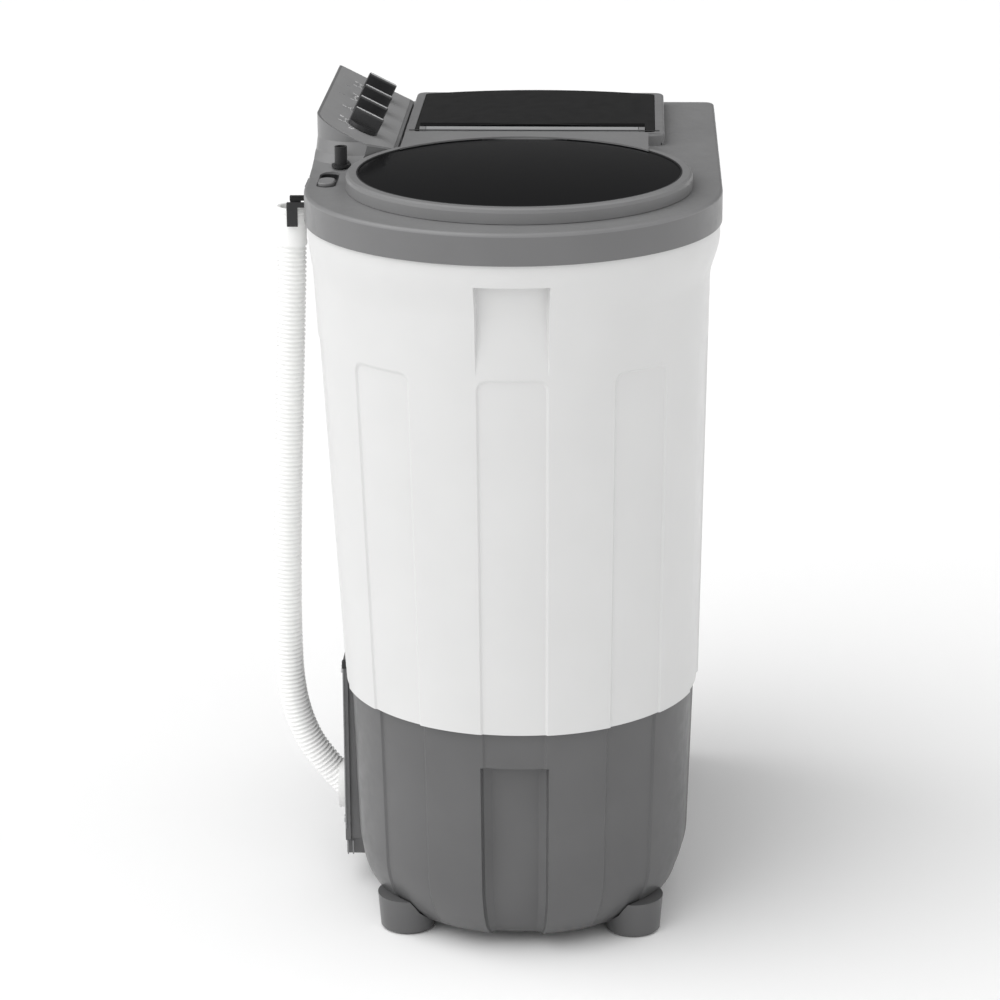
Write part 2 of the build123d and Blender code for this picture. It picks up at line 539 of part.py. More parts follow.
def make_pulsator_screw():
    """Screw that holds the pulsator on its shaft."""
    z = TUB_LOW_Z + TUB_WALL + 40.1
    screw = turned([(0, z), (11, z), (11, z + 3), (8, z + 6), (0, z + 7)])
    screw -= Pos(0, 0, z + 6.5) * Box(13, 2, 3)
    return Pos(TUB_X, TUB_Y, 0) * screw


def make_wash_shaft():
    """Pulsator shaft."""
    return cyl(6.0, PULLEY_Z - 6, TUB_LOW_Z + TUB_WALL + 40, TUB_X, TUB_Y)


def make_gearcase():
    """Bearing housing bolted under the wash tub."""
    top = TUB_LOW_Z - 0.05
    case = turned([(6.06, top), (52, top), (52, top - 5), (24, top - 10), (20, top - 52), (6.06, top - 52)], TUB_X, TUB_Y)
    for i in range(4):
        a = radians(45 + 90 * i)
        case -= cyl(2.6, top - 20, top + 5, TUB_X + 43 * cos(a), TUB_Y + 43 * sin(a))
    return case


def grooved(r, z, bore, x, y):
    """Belt pulley with a V groove, 14 thick."""
    return turned([(bore, z), (r, z), (r, z + 2), (r - 5, z + 5), (r - 5, z + 9), (r, z + 12), (r, z + 14), (bore, z + 14)], x, y)


def make_wash_pulley():
    """Large pulley on the pulsator shaft, with lightening holes."""
    pulley = grooved(PULLEY_R, PULLEY_Z, 6.0, TUB_X, TUB_Y)
    for i in range(6):
        a = radians(60 * i)
        pulley -= cyl(11.0, PULLEY_Z - 1, PULLEY_Z + 20, TUB_X + 38 * cos(a), TUB_Y + 38 * sin(a))
    return pulley


def make_belt():
    """Drive belt round both pulleys."""
    (x0, y0), (x1, y1) = (TUB_X, TUB_Y), MOTOR_AT
    span = hypot(x1 - x0, y1 - y0)

    def loop(grow):
        big, small = PULLEY_R - 4.6 + grow, MOTOR_PULLEY_R - 4.6 + grow
        tilt = degrees(atan2(big - small, span))
        strip = Circle(big) + Pos(span, 0) * Circle(small)
        a = radians(90 - tilt)
        quad = [(big * cos(a), big * sin(a)), (span + small * cos(a), small * sin(a)),
                (span + small * cos(a), -small * sin(a)), (big * cos(a), -big * sin(a))]
        return strip + make_face(Polyline(*quad, quad[0]))

    flat = loop(BELT_T) - loop(0)
    turn = degrees(atan2(y1 - y0, x1 - x0))
    return Pos(x0, y0, PULLEY_Z + 5.2) * Rot(0, 0, turn) * extrude(flat, 3.6)


def motor(x, y, r, z0, z1):
    """Finned motor can with vented end bells and the stator ring inside it."""
    can = cyl(r, z0 + 18, z1 - 18, x, y)
    can += turned([(0, z0), (r - 16, z0), (r - 3, z0 + 18), (0, z0 + 18)], x, y)
    can += turned([(0, z1 - 18), (r - 3, z1 - 18), (r - 16, z1), (0, z1)], x, y)
    for i in range(12):
        a = 30 * i
        can += Pos(x, y, 0) * Rot(0, 0, a) * block(r - 2, r + 3, -1.5, 1.5, z0 + 24, z1 - 24)
    middle = (z0 + z1) / 2
    can -= turned([(0, z0 + 6), (r - 20, z0 + 6), (r - 7, z0 + 22), (r - 7, z1 - 22), (r - 20, z1 - 6), (0, z1 - 6)], x, y)
    can += tube(r - 6, r - 24, middle - 18, middle + 18, x, y)
    for i in range(6):
        a = radians(60 * i + 30)
        can -= cyl(4.0, z0 - 1, z0 + 8, x + 20 * cos(a), y + 20 * sin(a))
    return can


def make_wash_motor():
    """Wash motor standing on the floor plate."""
    x, y = MOTOR_AT
    can = motor(x, y, 48.0, FLOOR_Z + 12, PULLEY_Z - 21)
    for a in (30, 150, 270):
        can += Pos(x, y, 0) * Rot(0, 0, a) * (block(0, 62, -9, 9, FLOOR_Z + 24, FLOOR_Z + 29))
    return can - cyl(5.06, FLOOR_Z + 60, 300, x, y)


def make_motor_mounts(points, z1):
    """Rubber bushes between a motor's lugs and the floor plate, as one node of separate solids."""
    return Compound([turned([(0, FLOOR_Z), (9, FLOOR_Z), (6, (FLOOR_Z + z1) / 2), (9, z1), (0, z1)], *p) for p in points])


def lug_points(x, y, r):
    """Centres of the three lugs of a motor."""
    return [(x + r * cos(radians(a)), y + r * sin(radians(a))) for a in (30, 150, 270)]


# ---- spin side ---------------------------------------------------------------------------------------
def make_spin_tub():
    """Outer spin tub hung under the deck."""
    top, low, r, t = DECK_Z - WALL, SPIN_TUB_LOW_Z, SPIN_TUB_R, TUB_WALL
    profile = [(30, low), (r - 14, low), (r - 4, low + 12), (r, top - 4), (r + 6, top - 2.5), (r + 6, top), (SPIN_HOLE_R, top),
               (r - t, top - 6), (r - 4 - t, low + 12 + t), (r - 14 - t, low + t), (30, low + t)]
    tub = turned(profile, SPIN_X, SPIN_Y)
    return tub - cyl(9.0, low - 10, low + 10, SPIN_X - 80, SPIN_Y) + make_brake_post()


def make_basket():
    """Perforated spin basket with a rolled rim."""
    low, top, r, t = BASKET_LOW_Z, BASKET_TOP_Z, BASKET_R, 2.0
    profile = [(7.02, low), (r - 10, low), (r, low + 10), (r, top), (r - t, top), (r - t, low + 11), (r - 11, low + t + 1),
               (40, low + t + 1), (24, low + 26), (7.02, low + 26)]
    basket = turned(profile)
    rows, columns = 9, 14
    holes = []
    for k in range(rows):
        for i in range(columns):
            a = 360 / columns * (i + 0.5 * (k % 2))
            holes.append(Rot(0, 0, a) * Pos(r, 0, low + 35 + 36 * k) * Rot(0, 90, 0) * Cylinder(4.0, 12))
    basket -= holes
    return Pos(SPIN_X, SPIN_Y, 0) * (basket - cyl(7.02, low - 1, low + 40))


def make_balance_ring():
    """Balance ring inside the rim of the basket."""
    top = BASKET_TOP_Z
    r = BASKET_R
    return turned([(r - 2, top - 26), (r - 2, top + 2), (r + 1, top + 2), (r + 1, top + 6), (r - 14, top + 6), (r - 16, top + 2),
                   (r - 16, top - 22), (r - 12, top - 26)], SPIN_X, SPIN_Y)


def make_spin_shaft():
    """Shaft from the spin motor up into the basket, with its hub nut."""
    shaft = cyl(7.0, 230, BASKET_LOW_Z + 26, SPIN_X, SPIN_Y)
    return shaft + turned([(0, BASKET_LOW_Z + 26), (14, BASKET_LOW_Z + 26), (12, BASKET_LOW_Z + 34), (0, BASKET_LOW_Z + 36)],
                          SPIN_X, SPIN_Y)


def make_brake_drum():
    """Coupling and brake drum clamped on the spin shaft."""
    return turned([(7.0, 300), (26, 300), (26, 312), (52, 318), (52, 344), (46, 344), (46, 324), (20, 322), (7.0, 322)],
                  SPIN_X, SPIN_Y)


def make_brake_lever():
    """Lever with the brake shoe that presses on the drum when the spin lid is raised."""
    x, y = SPIN_X - 30, SPIN_Y - 84
    arm = block(x - 6, x + 66, y - 5, y + 5, 326, 332)
    arm = fillet(arm.edges().filter_by(Axis.Z), 4)
    arm += cyl(9, 322, 336, x, y)
    arm += block(x + 22, x + 38, y + 5, SPIN_Y - 56, 324, 334)
    return arm - cyl(4.06, 300, 350, x, y)


def make_brake_post():
    """Post of the brake lever, hung from the spin tub floor bracket."""
    x, y = SPIN_X - 30, SPIN_Y - 84
    post = cyl(4.0, 318, 400, x, y) + cyl(8, 338.0, SPIN_TUB_LOW_Z, x, y)
    return post


def make_bellows():
    """Rubber bellows seal between the spin tub floor and the shaft bearing."""
    low = SPIN_TUB_LOW_Z
    outer = [(30, low + 2.5), (30, low)]
    folds = 5
    for i in range(folds):
        z = low - 6 - 9 * i
        outer += [(27, z + 4), (19, z)]
    inner = [(r - 3, z) for r, z in reversed(outer)]
    collar = tube(19, 7.1, low - 54, low - 41, SPIN_X, SPIN_Y)
    return turned([(34, low - 0.05), (34, low - 3)] + outer[2:] + inner[:-2] + [(24, low - 0.05)], SPIN_X, SPIN_Y) + collar


def make_springs():
    """Suspension springs under the spin motor, as one node of separate solids."""
    springs = []
    for x, y in lug_points(SPIN_X, SPIN_Y, 66):
        coil = Helix(pitch=7.0, height=35.0, radius=9.0)
        wire = sweep(Plane(origin=coil @ 0, z_dir=coil % 0) * Circle(1.3), coil)
        springs.append(Pos(x, y, FLOOR_Z + 1.6) * wire)
    return Compound(springs)


def make_spin_motor():
    """Spin motor carried on its three springs."""
    x, y = SPIN_X, SPIN_Y
    can = motor(x, y, 55.0, FLOOR_Z + 14, 262)
    for a in (30, 150, 270):
        can += Pos(x, y, 0) * Rot(0, 0, a) * block(0, 78, -11, 11, FLOOR_Z + 39, FLOOR_Z + 44)
    return can - cyl(7.06, 220, 300, x, y)


# ---- water and electrics -----------------------------------------------------------------------------
VALVE = (TUB_X + 132.0, TUB_Y + 20.0)
VALVE_LIFT = 10.0


def make_drain_valve():
    """Drain valve body under the tub outlet, with side ports for the overflow and the hose."""
    x, y = VALVE
    body = turned([(20, 270), (26, 270), (26, 330), (14, TUB_LOW_Z), (9.2, TUB_LOW_Z), (20, 326)], x, y)
    body += tube(20, 12, 266, 272, x, y)
    port = Pos(x, y + 40, 285) * Rot(90, 0, 0) * (Cylinder(13, 40) - Cylinder(10, 50))
    return body + (port - cyl(20.5, 250, 300, x, y))


def make_valve_plunger():
    """Rubber-faced plunger of the drain valve and its stem."""
    x, y = VALVE
    return turned([(0, 318), (17, 318), (19, 312), (19, 306), (8, 302), (5, 296), (5, 252), (0, 252)], x, y)


def make_drain_link():
    """Wire link between the drain selector and the plunger stem."""
    x, y = VALVE
    y1, y2, top = KNOB_Y - 10, KNOB_Y - 2, 790
    link = block(x - 4, x + 4, y - 4, y2, 244, 251.9) + block(x - 4, x + 4, y1, y2, 244, top)
    link += block(x - 4, KNOB_X[2] + 4, y1, y2, top - 8, top)
    return link + block(KNOB_X[2] - 4, KNOB_X[2] + 4, y1, y2, top - 8, DECK_Z - 14)


def make_internal_hose():
    """Internal drain hose from the valve port down to the spigot."""
    x, y = VALVE
    path = FilletPolyline((x, y + 60.2, 285), (x, y + 88, 285), (x - 46, y + 117, 285), (HOSE_X, TUB_Y + 150, 200),
                          (HOSE_X, TUB_Y + 150, SPIGOT_Z), (HOSE_X, TUB_Y + 194, SPIGOT_Z), radius=14)
    outer = sweep(Plane(origin=path @ 0, z_dir=path % 0) * Circle(11.0), path)
    inner = sweep(Plane(origin=path @ 0, z_dir=path % 0) * Circle(8.5), path)
    return outer - inner


def make_spigot():
    """White drain outlet boss on the rear cover, with an upturned hose barb."""
    run, rise = HOSE_ROUTE[1][0] - HOSE_ROUTE[0][0], HOSE_ROUTE[1][1] - HOSE_ROUTE[0][1]
    back = COVER_Y
    boss = Pos(HOSE_X, back - 1.0, SPIGOT_Z) * Rot(90, 0, 0) * Cylinder(29.0, 20.0)
    stub = Pos(HOSE_X, (back + TUB_Y + 194) / 2, SPIGOT_Z) * Rot(90, 0, 0) * Cylinder(14.0, back - TUB_Y - 194)
    barb_at = Plane(origin=(HOSE_X, back + 2, SPIGOT_Z + 2), z_dir=(0, run, rise))
    barb = extrude(barb_at * Circle(12.0), 34)
    bore = extrude(barb_at * Circle(9.0), 40)
    return boss + stub + barb - bore - Pos(HOSE_X, back - 8, SPIGOT_Z) * Rot(90, 0, 0) * Cylinder(9.0, 21.0)


def hose_points():
    """Corner points of the drain hose."""
    return [(HOSE_X, TUB_Y + y, z) for y, z in HOSE_ROUTE]


def make_hose():
    """Drain hose: straight runs joined by tangent arcs as large as the runs allow."""
    pts = [Vector(*p) for p in hose_points()]
    radii = []
    for a, b, c in zip(pts, pts[1:], pts[2:]):
        turn = (b - a).get_angle(c - b)
        radii.append(0.45 * min((b - a).length, (c - b).length) / tan(radians(turn) / 2))
    print("hose radii", [round(r) for r in radii])
    path = FilletPolyline(*pts, radius=radii)
    hose = sweep(Plane(origin=path @ 0, z_dir=path % 0) * Circle(HOSE_R), path)
    print("hose length", round(path.length, 1), "volume ratio", round(hose.volume / (pi * HOSE_R**2 * path.length), 4))
    return hose, path


def make_cuff(path):
    """Smooth open cuff on the upper end of the hose."""
    end = Plane(origin=path @ 1, z_dir=path % 1)
    return extrude(end * Circle(HOSE_R + 1.0), 38) - extrude(end * Circle(HOSE_R - 3.0), 39)


def make_hose_hook():
    """Dark fork on the back of the deck band that straddles the hose cuff and leaves its mouth open."""
    y0, y1 = DECK_R, TUB_Y + 259.0
    z0, z1 = CUFF_TOP_Z + 1.5, CUFF_TOP_Z + 6.5
    hook = block(HOSE_X - 21, HOSE_X + 21, y0, y0 + 3, CUFF_TOP_Z + 1, DECK_Z - 8)
    for side in (-1, 1):
        inner, clip, outer = HOSE_X + side * 14.4, HOSE_X + side * 18.0, HOSE_X + side * 21.0
        hook += block(min(inner, outer), max(inner, outer), y0, y1, z0, z1)
        hook += block(min(clip, outer), max(clip, outer), y1 - 12, y1, CUFF_TOP_Z - 20, z1)
    return hook


def make_cord_gland():
    """Gland for the mains lead in the rear cover."""
    x, z = COVER[1] - 30, COVER[2] + 36
    gland = Pos(x, COVER_Y + 2, z) * Rot(90, 0, 0) * Cylinder(11, 4)
    gland += Pos(x, COVER_Y + 6, z) * Rot(90, 0, 0) * Cone(6.5, 8.5, 10)
    gland += Pos(x, COVER_Y - 4, z) * Rot(90, 0, 0) * Cylinder(7.9, 9)
    return gland - Pos(x, COVER_Y, z) * Rot(90, 0, 0) * Cylinder(4.0, 60)


def make_capacitor():
    """Run capacitor of the motors, standing on the floor plate with its two tabs."""
    x, y = 60.0, -120.0
    can = turned([(0, FLOOR_Z), (17, FLOOR_Z), (17.5, FLOOR_Z + 3), (17.5, FLOOR_Z + 66), (15, FLOOR_Z + 68), (0, FLOOR_Z + 68)], x, y)
    for dx in (-7, 7):
        can += block(x + dx - 0.5, x + dx + 0.5, y - 3, y + 3, FLOOR_Z + 66, FLOOR_Z + 78)
    return can


def make_cover_screws():
    """Screws round the rear cover, as one node of separate solids."""
    x0, x1, z0, z1 = COVER
    screws = []
    for x in (x0 + 12, (x0 + x1) / 2, x1 - 12):
        for z in (z0 + 24, z1 - 12):
            head = Pos(x, COVER_Y + 1.1, z) * Rot(90, 0, 0) * Cylinder(4.5, 2.2)
            screws.append(head - Pos(x, COVER_Y + 2.2, z) * Box(6, 1.4, 1.2) - Pos(x, COVER_Y + 2.2, z) * Box(1.2, 1.4, 6))
    return Compound(screws)


# ---- write every node --------------------------------------------------------------------------------
os.makedirs("parts", exist_ok=True)

save(make_base_shell(), "base_shell")
save(make_body_shell(), "body_shell")
save(make_top_frame(), "top_frame")
save(make_control_housing(), "control_housing")
save(make_fascia(), "control_fascia")
save(make_rear_cover(), "rear_cover")
save(make_rear_panel(), "rear_panel")

floor_plan = blend(BASE_SIDE, BASE_TOP, FLOOR_Z + 6)
floor = Pos(0, 0, FLOOR_Z - 3) * extrude(outline(0, *floor_plan[1:], inset=WALL + 26), 3)
save(floor, "floor_plate")

feet = [turned([(0, 0), (FOOT_R - 3, 0), (FOOT_R, 3), (FOOT_R + 3, 42), (0, 42)], x, y) for x, y in FEET_AT]
bowl = stack(base_sections())
save(Compound([f - bowl - cyl(4.2, 0, 60, x, y) for f, (x, y) in zip(feet, FEET_AT)]), "feet")

save(make_wash_ring(), "wash_lid_ring")
save(make_wash_glass(), "wash_lid_glass")
save(make_wash_hinge_strip(), "wash_lid_hinge_strip")
save(rod_y(PIN_R, WASH_HINGE_X, WASH_HINGE_Z, TUB_Y - 129, TUB_Y + 126), "wash_lid_pin")
save(make_spin_surround(), "spin_surround")
save(make_spin_lid(), "spin_lid_panel")
save(make_spin_barrel(), "spin_lid_hinge_bar")
save(rod_y(PIN_R, SPIN_HINGE_X, SPIN_HINGE_Z, HINGE_Y[0], HINGE_Y[1]), "spin_lid_pin")

names = ("wash_timer", "wash_program", "drain_selector", "spin_timer")
for name, x in zip(names, KNOB_X):
    save(make_knob(x), f"{name}_knob")
    save(make_pointer(x), f"{name}_pointer")

save(Compound([make_switch_box(x, 24) for x in (KNOB_X[0], KNOB_X[3])]), "timer_boxes")
save(Compound([make_switch_box(x, 18) for x in (KNOB_X[1], KNOB_X[2])]), "switch_boxes")

save(make_nozzle(), "inlet_nozzle")
save(make_selector(), "inlet_selector")

save(make_wash_tub(), "wash_tub")
save(make_lint_filter(), "lint_filter")
save(make_pulsator(), "pulsator")
save(make_pulsator_screw(), "pulsator_screw")
save(make_wash_shaft(), "wash_shaft")
save(make_gearcase(), "gearcase")
save(make_wash_pulley(), "wash_pulley")
save(make_belt(), "drive_belt")
save(make_wash_motor(), "wash_motor")
motor_shaft = cyl(5.0, FLOOR_Z + 70, PULLEY_Z + 14, *MOTOR_AT)
save(motor_shaft + grooved(MOTOR_PULLEY_R, PULLEY_Z, 4.0, *MOTOR_AT), "motor_pulley")
save(make_motor_mounts(lug_points(*MOTOR_AT, 52), FLOOR_Z + 24), "motor_mounts")

save(make_spin_tub(), "spin_tub")
save(make_basket(), "spin_basket")
save(make_balance_ring(), "balance_ring")
save(make_spin_shaft(), "spin_shaft")
save(make_brake_drum(), "brake_drum")
save(make_brake_lever(), "brake_lever")
save(make_bellows(), "shaft_bellows")
save(make_springs(), "motor_springs")
save(make_spin_motor(), "spin_motor")

save(make_drain_valve(), "drain_valve")
save(make_valve_plunger(), "valve_plunger")
save(make_drain_link(), "drain_link")
save(make_internal_hose(), "internal_hose")
save(make_spigot(), "drain_spigot")
hose, hose_path = make_hose()
save(hose, "drain_hose")
save(make_cuff(hose_path), "hose_cuff")
save(make_hose_hook(), "hose_hook")
save(make_cord_gland(), "cord_gland")
save(make_capacitor(), "run_capacitor")
save(make_cover_screws(), "cover_screws")
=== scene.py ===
import math

import bmesh
import bpy
from mathutils import Matrix, Vector


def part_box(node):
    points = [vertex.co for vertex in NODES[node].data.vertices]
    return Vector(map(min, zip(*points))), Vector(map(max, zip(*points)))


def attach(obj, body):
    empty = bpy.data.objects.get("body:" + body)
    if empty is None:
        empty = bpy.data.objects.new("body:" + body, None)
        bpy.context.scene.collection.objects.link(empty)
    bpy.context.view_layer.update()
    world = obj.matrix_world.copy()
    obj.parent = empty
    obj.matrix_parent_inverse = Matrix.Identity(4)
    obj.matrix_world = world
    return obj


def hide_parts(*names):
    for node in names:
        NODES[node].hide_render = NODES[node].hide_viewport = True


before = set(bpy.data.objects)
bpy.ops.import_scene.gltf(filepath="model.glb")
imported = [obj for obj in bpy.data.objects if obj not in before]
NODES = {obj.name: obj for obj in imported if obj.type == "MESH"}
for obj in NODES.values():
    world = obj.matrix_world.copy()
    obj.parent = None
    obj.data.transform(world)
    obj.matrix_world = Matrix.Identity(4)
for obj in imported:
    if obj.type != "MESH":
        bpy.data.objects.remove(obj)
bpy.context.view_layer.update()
MM = 0.001

# ---- the driving dimensions of part.py that the looks need, in mm ------------------------------------
DECK_Z, BAND, SEAM_Z, BASE_Z = 840.0, 34.5, 276.0, 10.0
TUB_X, TUB_Y = -126.0, -6.5
DEPTH, LENGTH = 457.0, 711.0
DECK_R = DEPTH / 2
GLASS_R, LID_H = 177.0, 17.0
PANEL_PITCH, PANEL_HALF = 40.5, 10.3
PANEL_TOP_Z, PANEL_LOW_Z = 680.0, 60.0
GRIP_LOW_Z, GRIP_TOP_Z, GRIP_DEPTH = 684.0, 781.0, 15.0
POCKET_TOP_Z, POCKET_HALF, POCKET_DEPTH = 233.0, 11.0, 17.0
SIDE_PANELS_X, PANEL_W = (-10.0, 130.0, 268.0), 76.0
KNOB_X, KNOB_Y = (26.0, 93.0, 161.0, 233.0), 177.5
PANEL_SLOPE = 0.505
HOSE_X, HOSE_R = -76.0, 16.5
COVER_X0, COVER_Y = TUB_X + 6.0, TUB_Y + 205.5
HOSE_ROUTE = [(208.0, 113.0), (238.0, 147.0), (258.7, 186.0), (270.0, 235.0), (272.0, 303.0),
              (269.5, 424.0), (264.0, 562.0), (259.0, 678.0), (256.8, 732.0), (255.8, 768.0)]


# ---- camera ------------------------------------------------------------------------------------------
def set_camera():
    """Camera at the photograph's viewing angle."""
    cam = bpy.data.objects.new("camera", bpy.data.cameras.new("camera"))
    bpy.context.scene.collection.objects.link(cam)
    yaw, pitch, roll = math.radians(2.45), math.radians(17.9), math.radians(-0.29)
    forward = Vector((math.cos(yaw) * math.cos(pitch), math.sin(yaw) * math.cos(pitch), -math.sin(pitch)))
    right = forward.cross(Vector((0, 0, 1))).normalized()
    up = right.cross(forward)
    right, up = (right * math.cos(roll) + up * math.sin(roll), up * math.cos(roll) - right * math.sin(roll))
    turn = Matrix((right, up, -forward)).transposed()
    cam.matrix_world = Matrix.Translation((-3.6499, -0.1345, 1.6182)) @ turn.to_4x4()
    cam.data.sensor_width = 36.0
    cam.data.lens = 118.465
    cam.data.clip_end = 100.0
    bpy.context.scene.camera = cam


# ---- materials ---------------------------------------------------------------------------------------
def new_material(name):
    mat = bpy.data.materials.new(name)
    mat.use_nodes = True
    tree = mat.node_tree
    shader = tree.nodes["Principled BSDF"]
    return mat, tree, shader


def grain(tree, scale, detail=3.0, stretch=(1, 1, 1)):
    """Noise in the row frame, so that its scale is the real one."""
    coords = tree.nodes.new("ShaderNodeTexCoord")
    place = tree.nodes.new("ShaderNodeMapping")
    place.inputs["Scale"].default_value = stretch
    noise = tree.nodes.new("ShaderNodeTexNoise")
    noise.inputs["Scale"].default_value = scale
    noise.inputs["Detail"].default_value = detail
    tree.links.new(coords.outputs["Object"], place.inputs["Vector"])
    tree.links.new(place.outputs["Vector"], noise.inputs["Vector"])
    return noise.outputs["Fac"]


def ramp(tree, fac, low, high, a=0.3, b=0.7):
    """Maps a noise value to a colour or to a grey between two levels."""
    node = tree.nodes.new("ShaderNodeValToRGB")
    node.color_ramp.elements[0].position, node.color_ramp.elements[1].position = a, b
    for element, value in zip(node.color_ramp.elements, (low, high)):
        value = value if hasattr(value, "__len__") else (value,) * 3
        element.color = tuple(value) + (1.0,)
    tree.links.new(fac, node.inputs["Fac"])
    return node.outputs["Color"]


def finish_material(name, color, rough, vary=0.06, rough_vary=0.06, fine=900.0, bump=0.05, bump_mm=0.02,
                    metallic=0.0, coat=0.0, coat_rough=0.05, stretch=(1, 1,
                                                                      1), specular=0.5, blotch=14.0, ior=1.5,
                    subsurface=0.0, sheen=0.0):
    """Moulded or metal finish: slow colour variation, uneven gloss and a fine surface texture."""
    mat, tree, shader = new_material(name)
    dark = [c * (1 - vary) for c in color]
    light = [min(1.0, c * (1 + vary)) for c in color]
    tree.links.new(ramp(tree, grain(tree, blotch), dark, light), shader.inputs["Base Color"])
    rough_fac = grain(tree, blotch * 4, 5.0, stretch)
    tree.links.new(ramp(tree, rough_fac, max(0.02, rough - rough_vary), rough + rough_vary),
                   shader.inputs["Roughness"])
    bumps = tree.nodes.new("ShaderNodeBump")
    bumps.inputs["Strength"].default_value = bump
    bumps.inputs["Distance"].default_value = bump_mm * MM
    tree.links.new(grain(tree, fine, 2.0, stretch), bumps.inputs["Height"])
    tree.links.new(bumps.outputs["Normal"], shader.inputs["Normal"])
    shader.inputs["Metallic"].default_value = metallic
    shader.inputs["Specular IOR Level"].default_value = specular
    shader.inputs["IOR"].default_value = ior
    shader.inputs["Coat Weight"].default_value = coat
    shader.inputs["Coat Roughness"].default_value = coat_rough
    shader.inputs["Subsurface Weight"].default_value = subsurface
    shader.inputs["Subsurface Scale"].default_value = 0.004
    shader.inputs["Sheen Weight"].default_value = sheen
    return mat


M = {
    "white": finish_material("moulded_white", (0.665, 0.665, 0.662), 0.36, vary=0.012, bump=0.08,
                             bump_mm=0.02,
                             coat=0.12, coat_rough=0.25),
    "base": finish_material("moulded_base_grey", (0.105, 0.105, 0.1065), 0.38, vary=0.05, bump=0.12,
                            bump_mm=0.03),
    # painted shade: the band grey is a darker copy of the deck grey for the deck's upright band, standing in for the
    # shade on its sides
    "band": finish_material("deck_grey_painted_side_shade", (0.15, 0.15, 0.152), 0.34, vary=0.04, bump=0.12, bump_mm=0.03),
    "deck": finish_material("moulded_deck_grey", (0.20, 0.20, 0.202), 0.38, vary=0.04, bump=0.12,
                            bump_mm=0.03),
    "panel": finish_material("panel_light_grey", (0.19, 0.19, 0.192), 0.36, vary=0.04, bump=0.10,
                             bump_mm=0.02),
    "fascia": finish_material("fascia_grey", (0.29, 0.29, 0.292), 0.33, vary=0.03, bump=0.06, bump_mm=0.02),
    "trim": finish_material("trim_light", (0.27, 0.273, 0.276), 0.34, vary=0.03, bump=0.05, bump_mm=0.02,
                            specular=0.3),
    "cover": finish_material("cover_dark", (0.13, 0.13, 0.132), 0.46, vary=0.08, bump=0.15, bump_mm=0.04),
    "glass": finish_material("lid_black_gloss", (0.004, 0.004, 0.0045), 0.14, vary=0.0, rough_vary=0.03,
                             bump=0.02,
                             bump_mm=0.003, specular=0.04),
    "lid": finish_material("lid_black_satin", (0.004, 0.004, 0.0042), 0.22, vary=0.05, rough_vary=0.05,
                           bump=0.05,
                           bump_mm=0.005, specular=0.08),
    "black": finish_material("black_plastic", (0.012, 0.012, 0.013), 0.45, vary=0.1, bump=0.15,
                             bump_mm=0.03),
    "knob": finish_material("knob_dark_grey", (0.022, 0.022, 0.023), 0.34, vary=0.06, bump=0.06,
                            bump_mm=0.02, coat=0.2),
    "bright": finish_material("bright_trim", (0.86, 0.86, 0.87), 0.24, vary=0.02, rough_vary=0.04,
                              bump=0.02,
                              bump_mm=0.004, metallic=0.15),
    "print": finish_material("print_white", (0.75, 0.75, 0.75), 0.5, vary=0.05, bump=0.05, bump_mm=0.01),
    "tub": finish_material("tub_plastic", (0.66, 0.68, 0.70), 0.30, vary=0.03, bump=0.06, bump_mm=0.02,
                           coat=0.2),
    "basket": finish_material("basket_plastic", (0.52, 0.57, 0.62), 0.30, vary=0.03, bump=0.06,
                              bump_mm=0.02, coat=0.2),
    "rubber": finish_material("rubber_black", (0.016, 0.016, 0.016), 0.62, vary=0.15, bump=0.25,
                              bump_mm=0.05),
    "hose": finish_material("hose_translucent_white", (0.93, 0.93, 0.92), 0.30, vary=0.01, bump=0.05,
                            bump_mm=0.02,
                            coat=0.2, coat_rough=0.2),
    "steel": finish_material("plain_steel", (0.55, 0.55, 0.56), 0.30, vary=0.05, rough_vary=0.10, fine=600,
                             bump=0.12,
                             bump_mm=0.02, metallic=1.0, stretch=(1, 1, 0.1)),
    "motor": finish_material("motor_paint", (0.045, 0.048, 0.052), 0.40, vary=0.15, bump=0.2, bump_mm=0.04,
                             metallic=0.6),
    "alu": finish_material("cast_aluminium", (0.62, 0.62, 0.63), 0.42, vary=0.05, rough_vary=0.10,
                           fine=500, bump=0.3,
                           bump_mm=0.05, metallic=1.0),
}


# ---- mesh helpers ------------------------------------------------------------------------------------
def add_piece(name, verts, faces, body, mat, replaces=(), sharp=32.0, weld=0.0):
    """New visible piece from points in mm, smooth apart from edges over the sharp angle."""
    mesh = bpy.data.meshes.new(name)
    mesh.from_pydata([(x * MM, y * MM, z * MM) for x, y, z in verts], [], faces)
    bm = bmesh.new()
    bm.from_mesh(mesh)
    if weld:
        bmesh.ops.remove_doubles(bm, verts=bm.verts, dist=weld * MM)
    bmesh.ops.recalc_face_normals(bm, faces=bm.faces)
    bm.to_mesh(mesh)
    bm.free()
    mesh.shade_smooth()
    mesh.set_sharp_from_angle(angle=math.radians(sharp))
    mesh.materials.append(mat)
    piece = bpy.data.objects.new(name, mesh)
    bpy.context.scene.collection.objects.link(piece)
    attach(piece, body)
    if replaces:
        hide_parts(*replaces)
    return piece


def grid_faces(rows, cols, base=0, closed_rows=False, closed_cols=False):
    """Quads between rows of points; either way may run round to its start."""
    faces = []
    for i in range(rows if closed_rows else rows - 1):
        for j in range(cols if closed_cols else cols - 1):
            i2, j2 = (i + 1) % rows, (j + 1) % cols
            faces.append((base + i * cols + j, base + i * cols + j2, base + i2 * cols + j2,
                          base + i2 * cols + j))
    return faces


def arc_points(cx, cy, r, a0, a1, steps):
    """Points on an arc, angles in degrees."""
    return [(cx + r * math.cos(math.radians(a0 + (a1 - a0) * k / steps)),
             cy + r * math.sin(math.radians(a0 + (a1 - a0) * k / steps))) for k in range(steps + 1)]


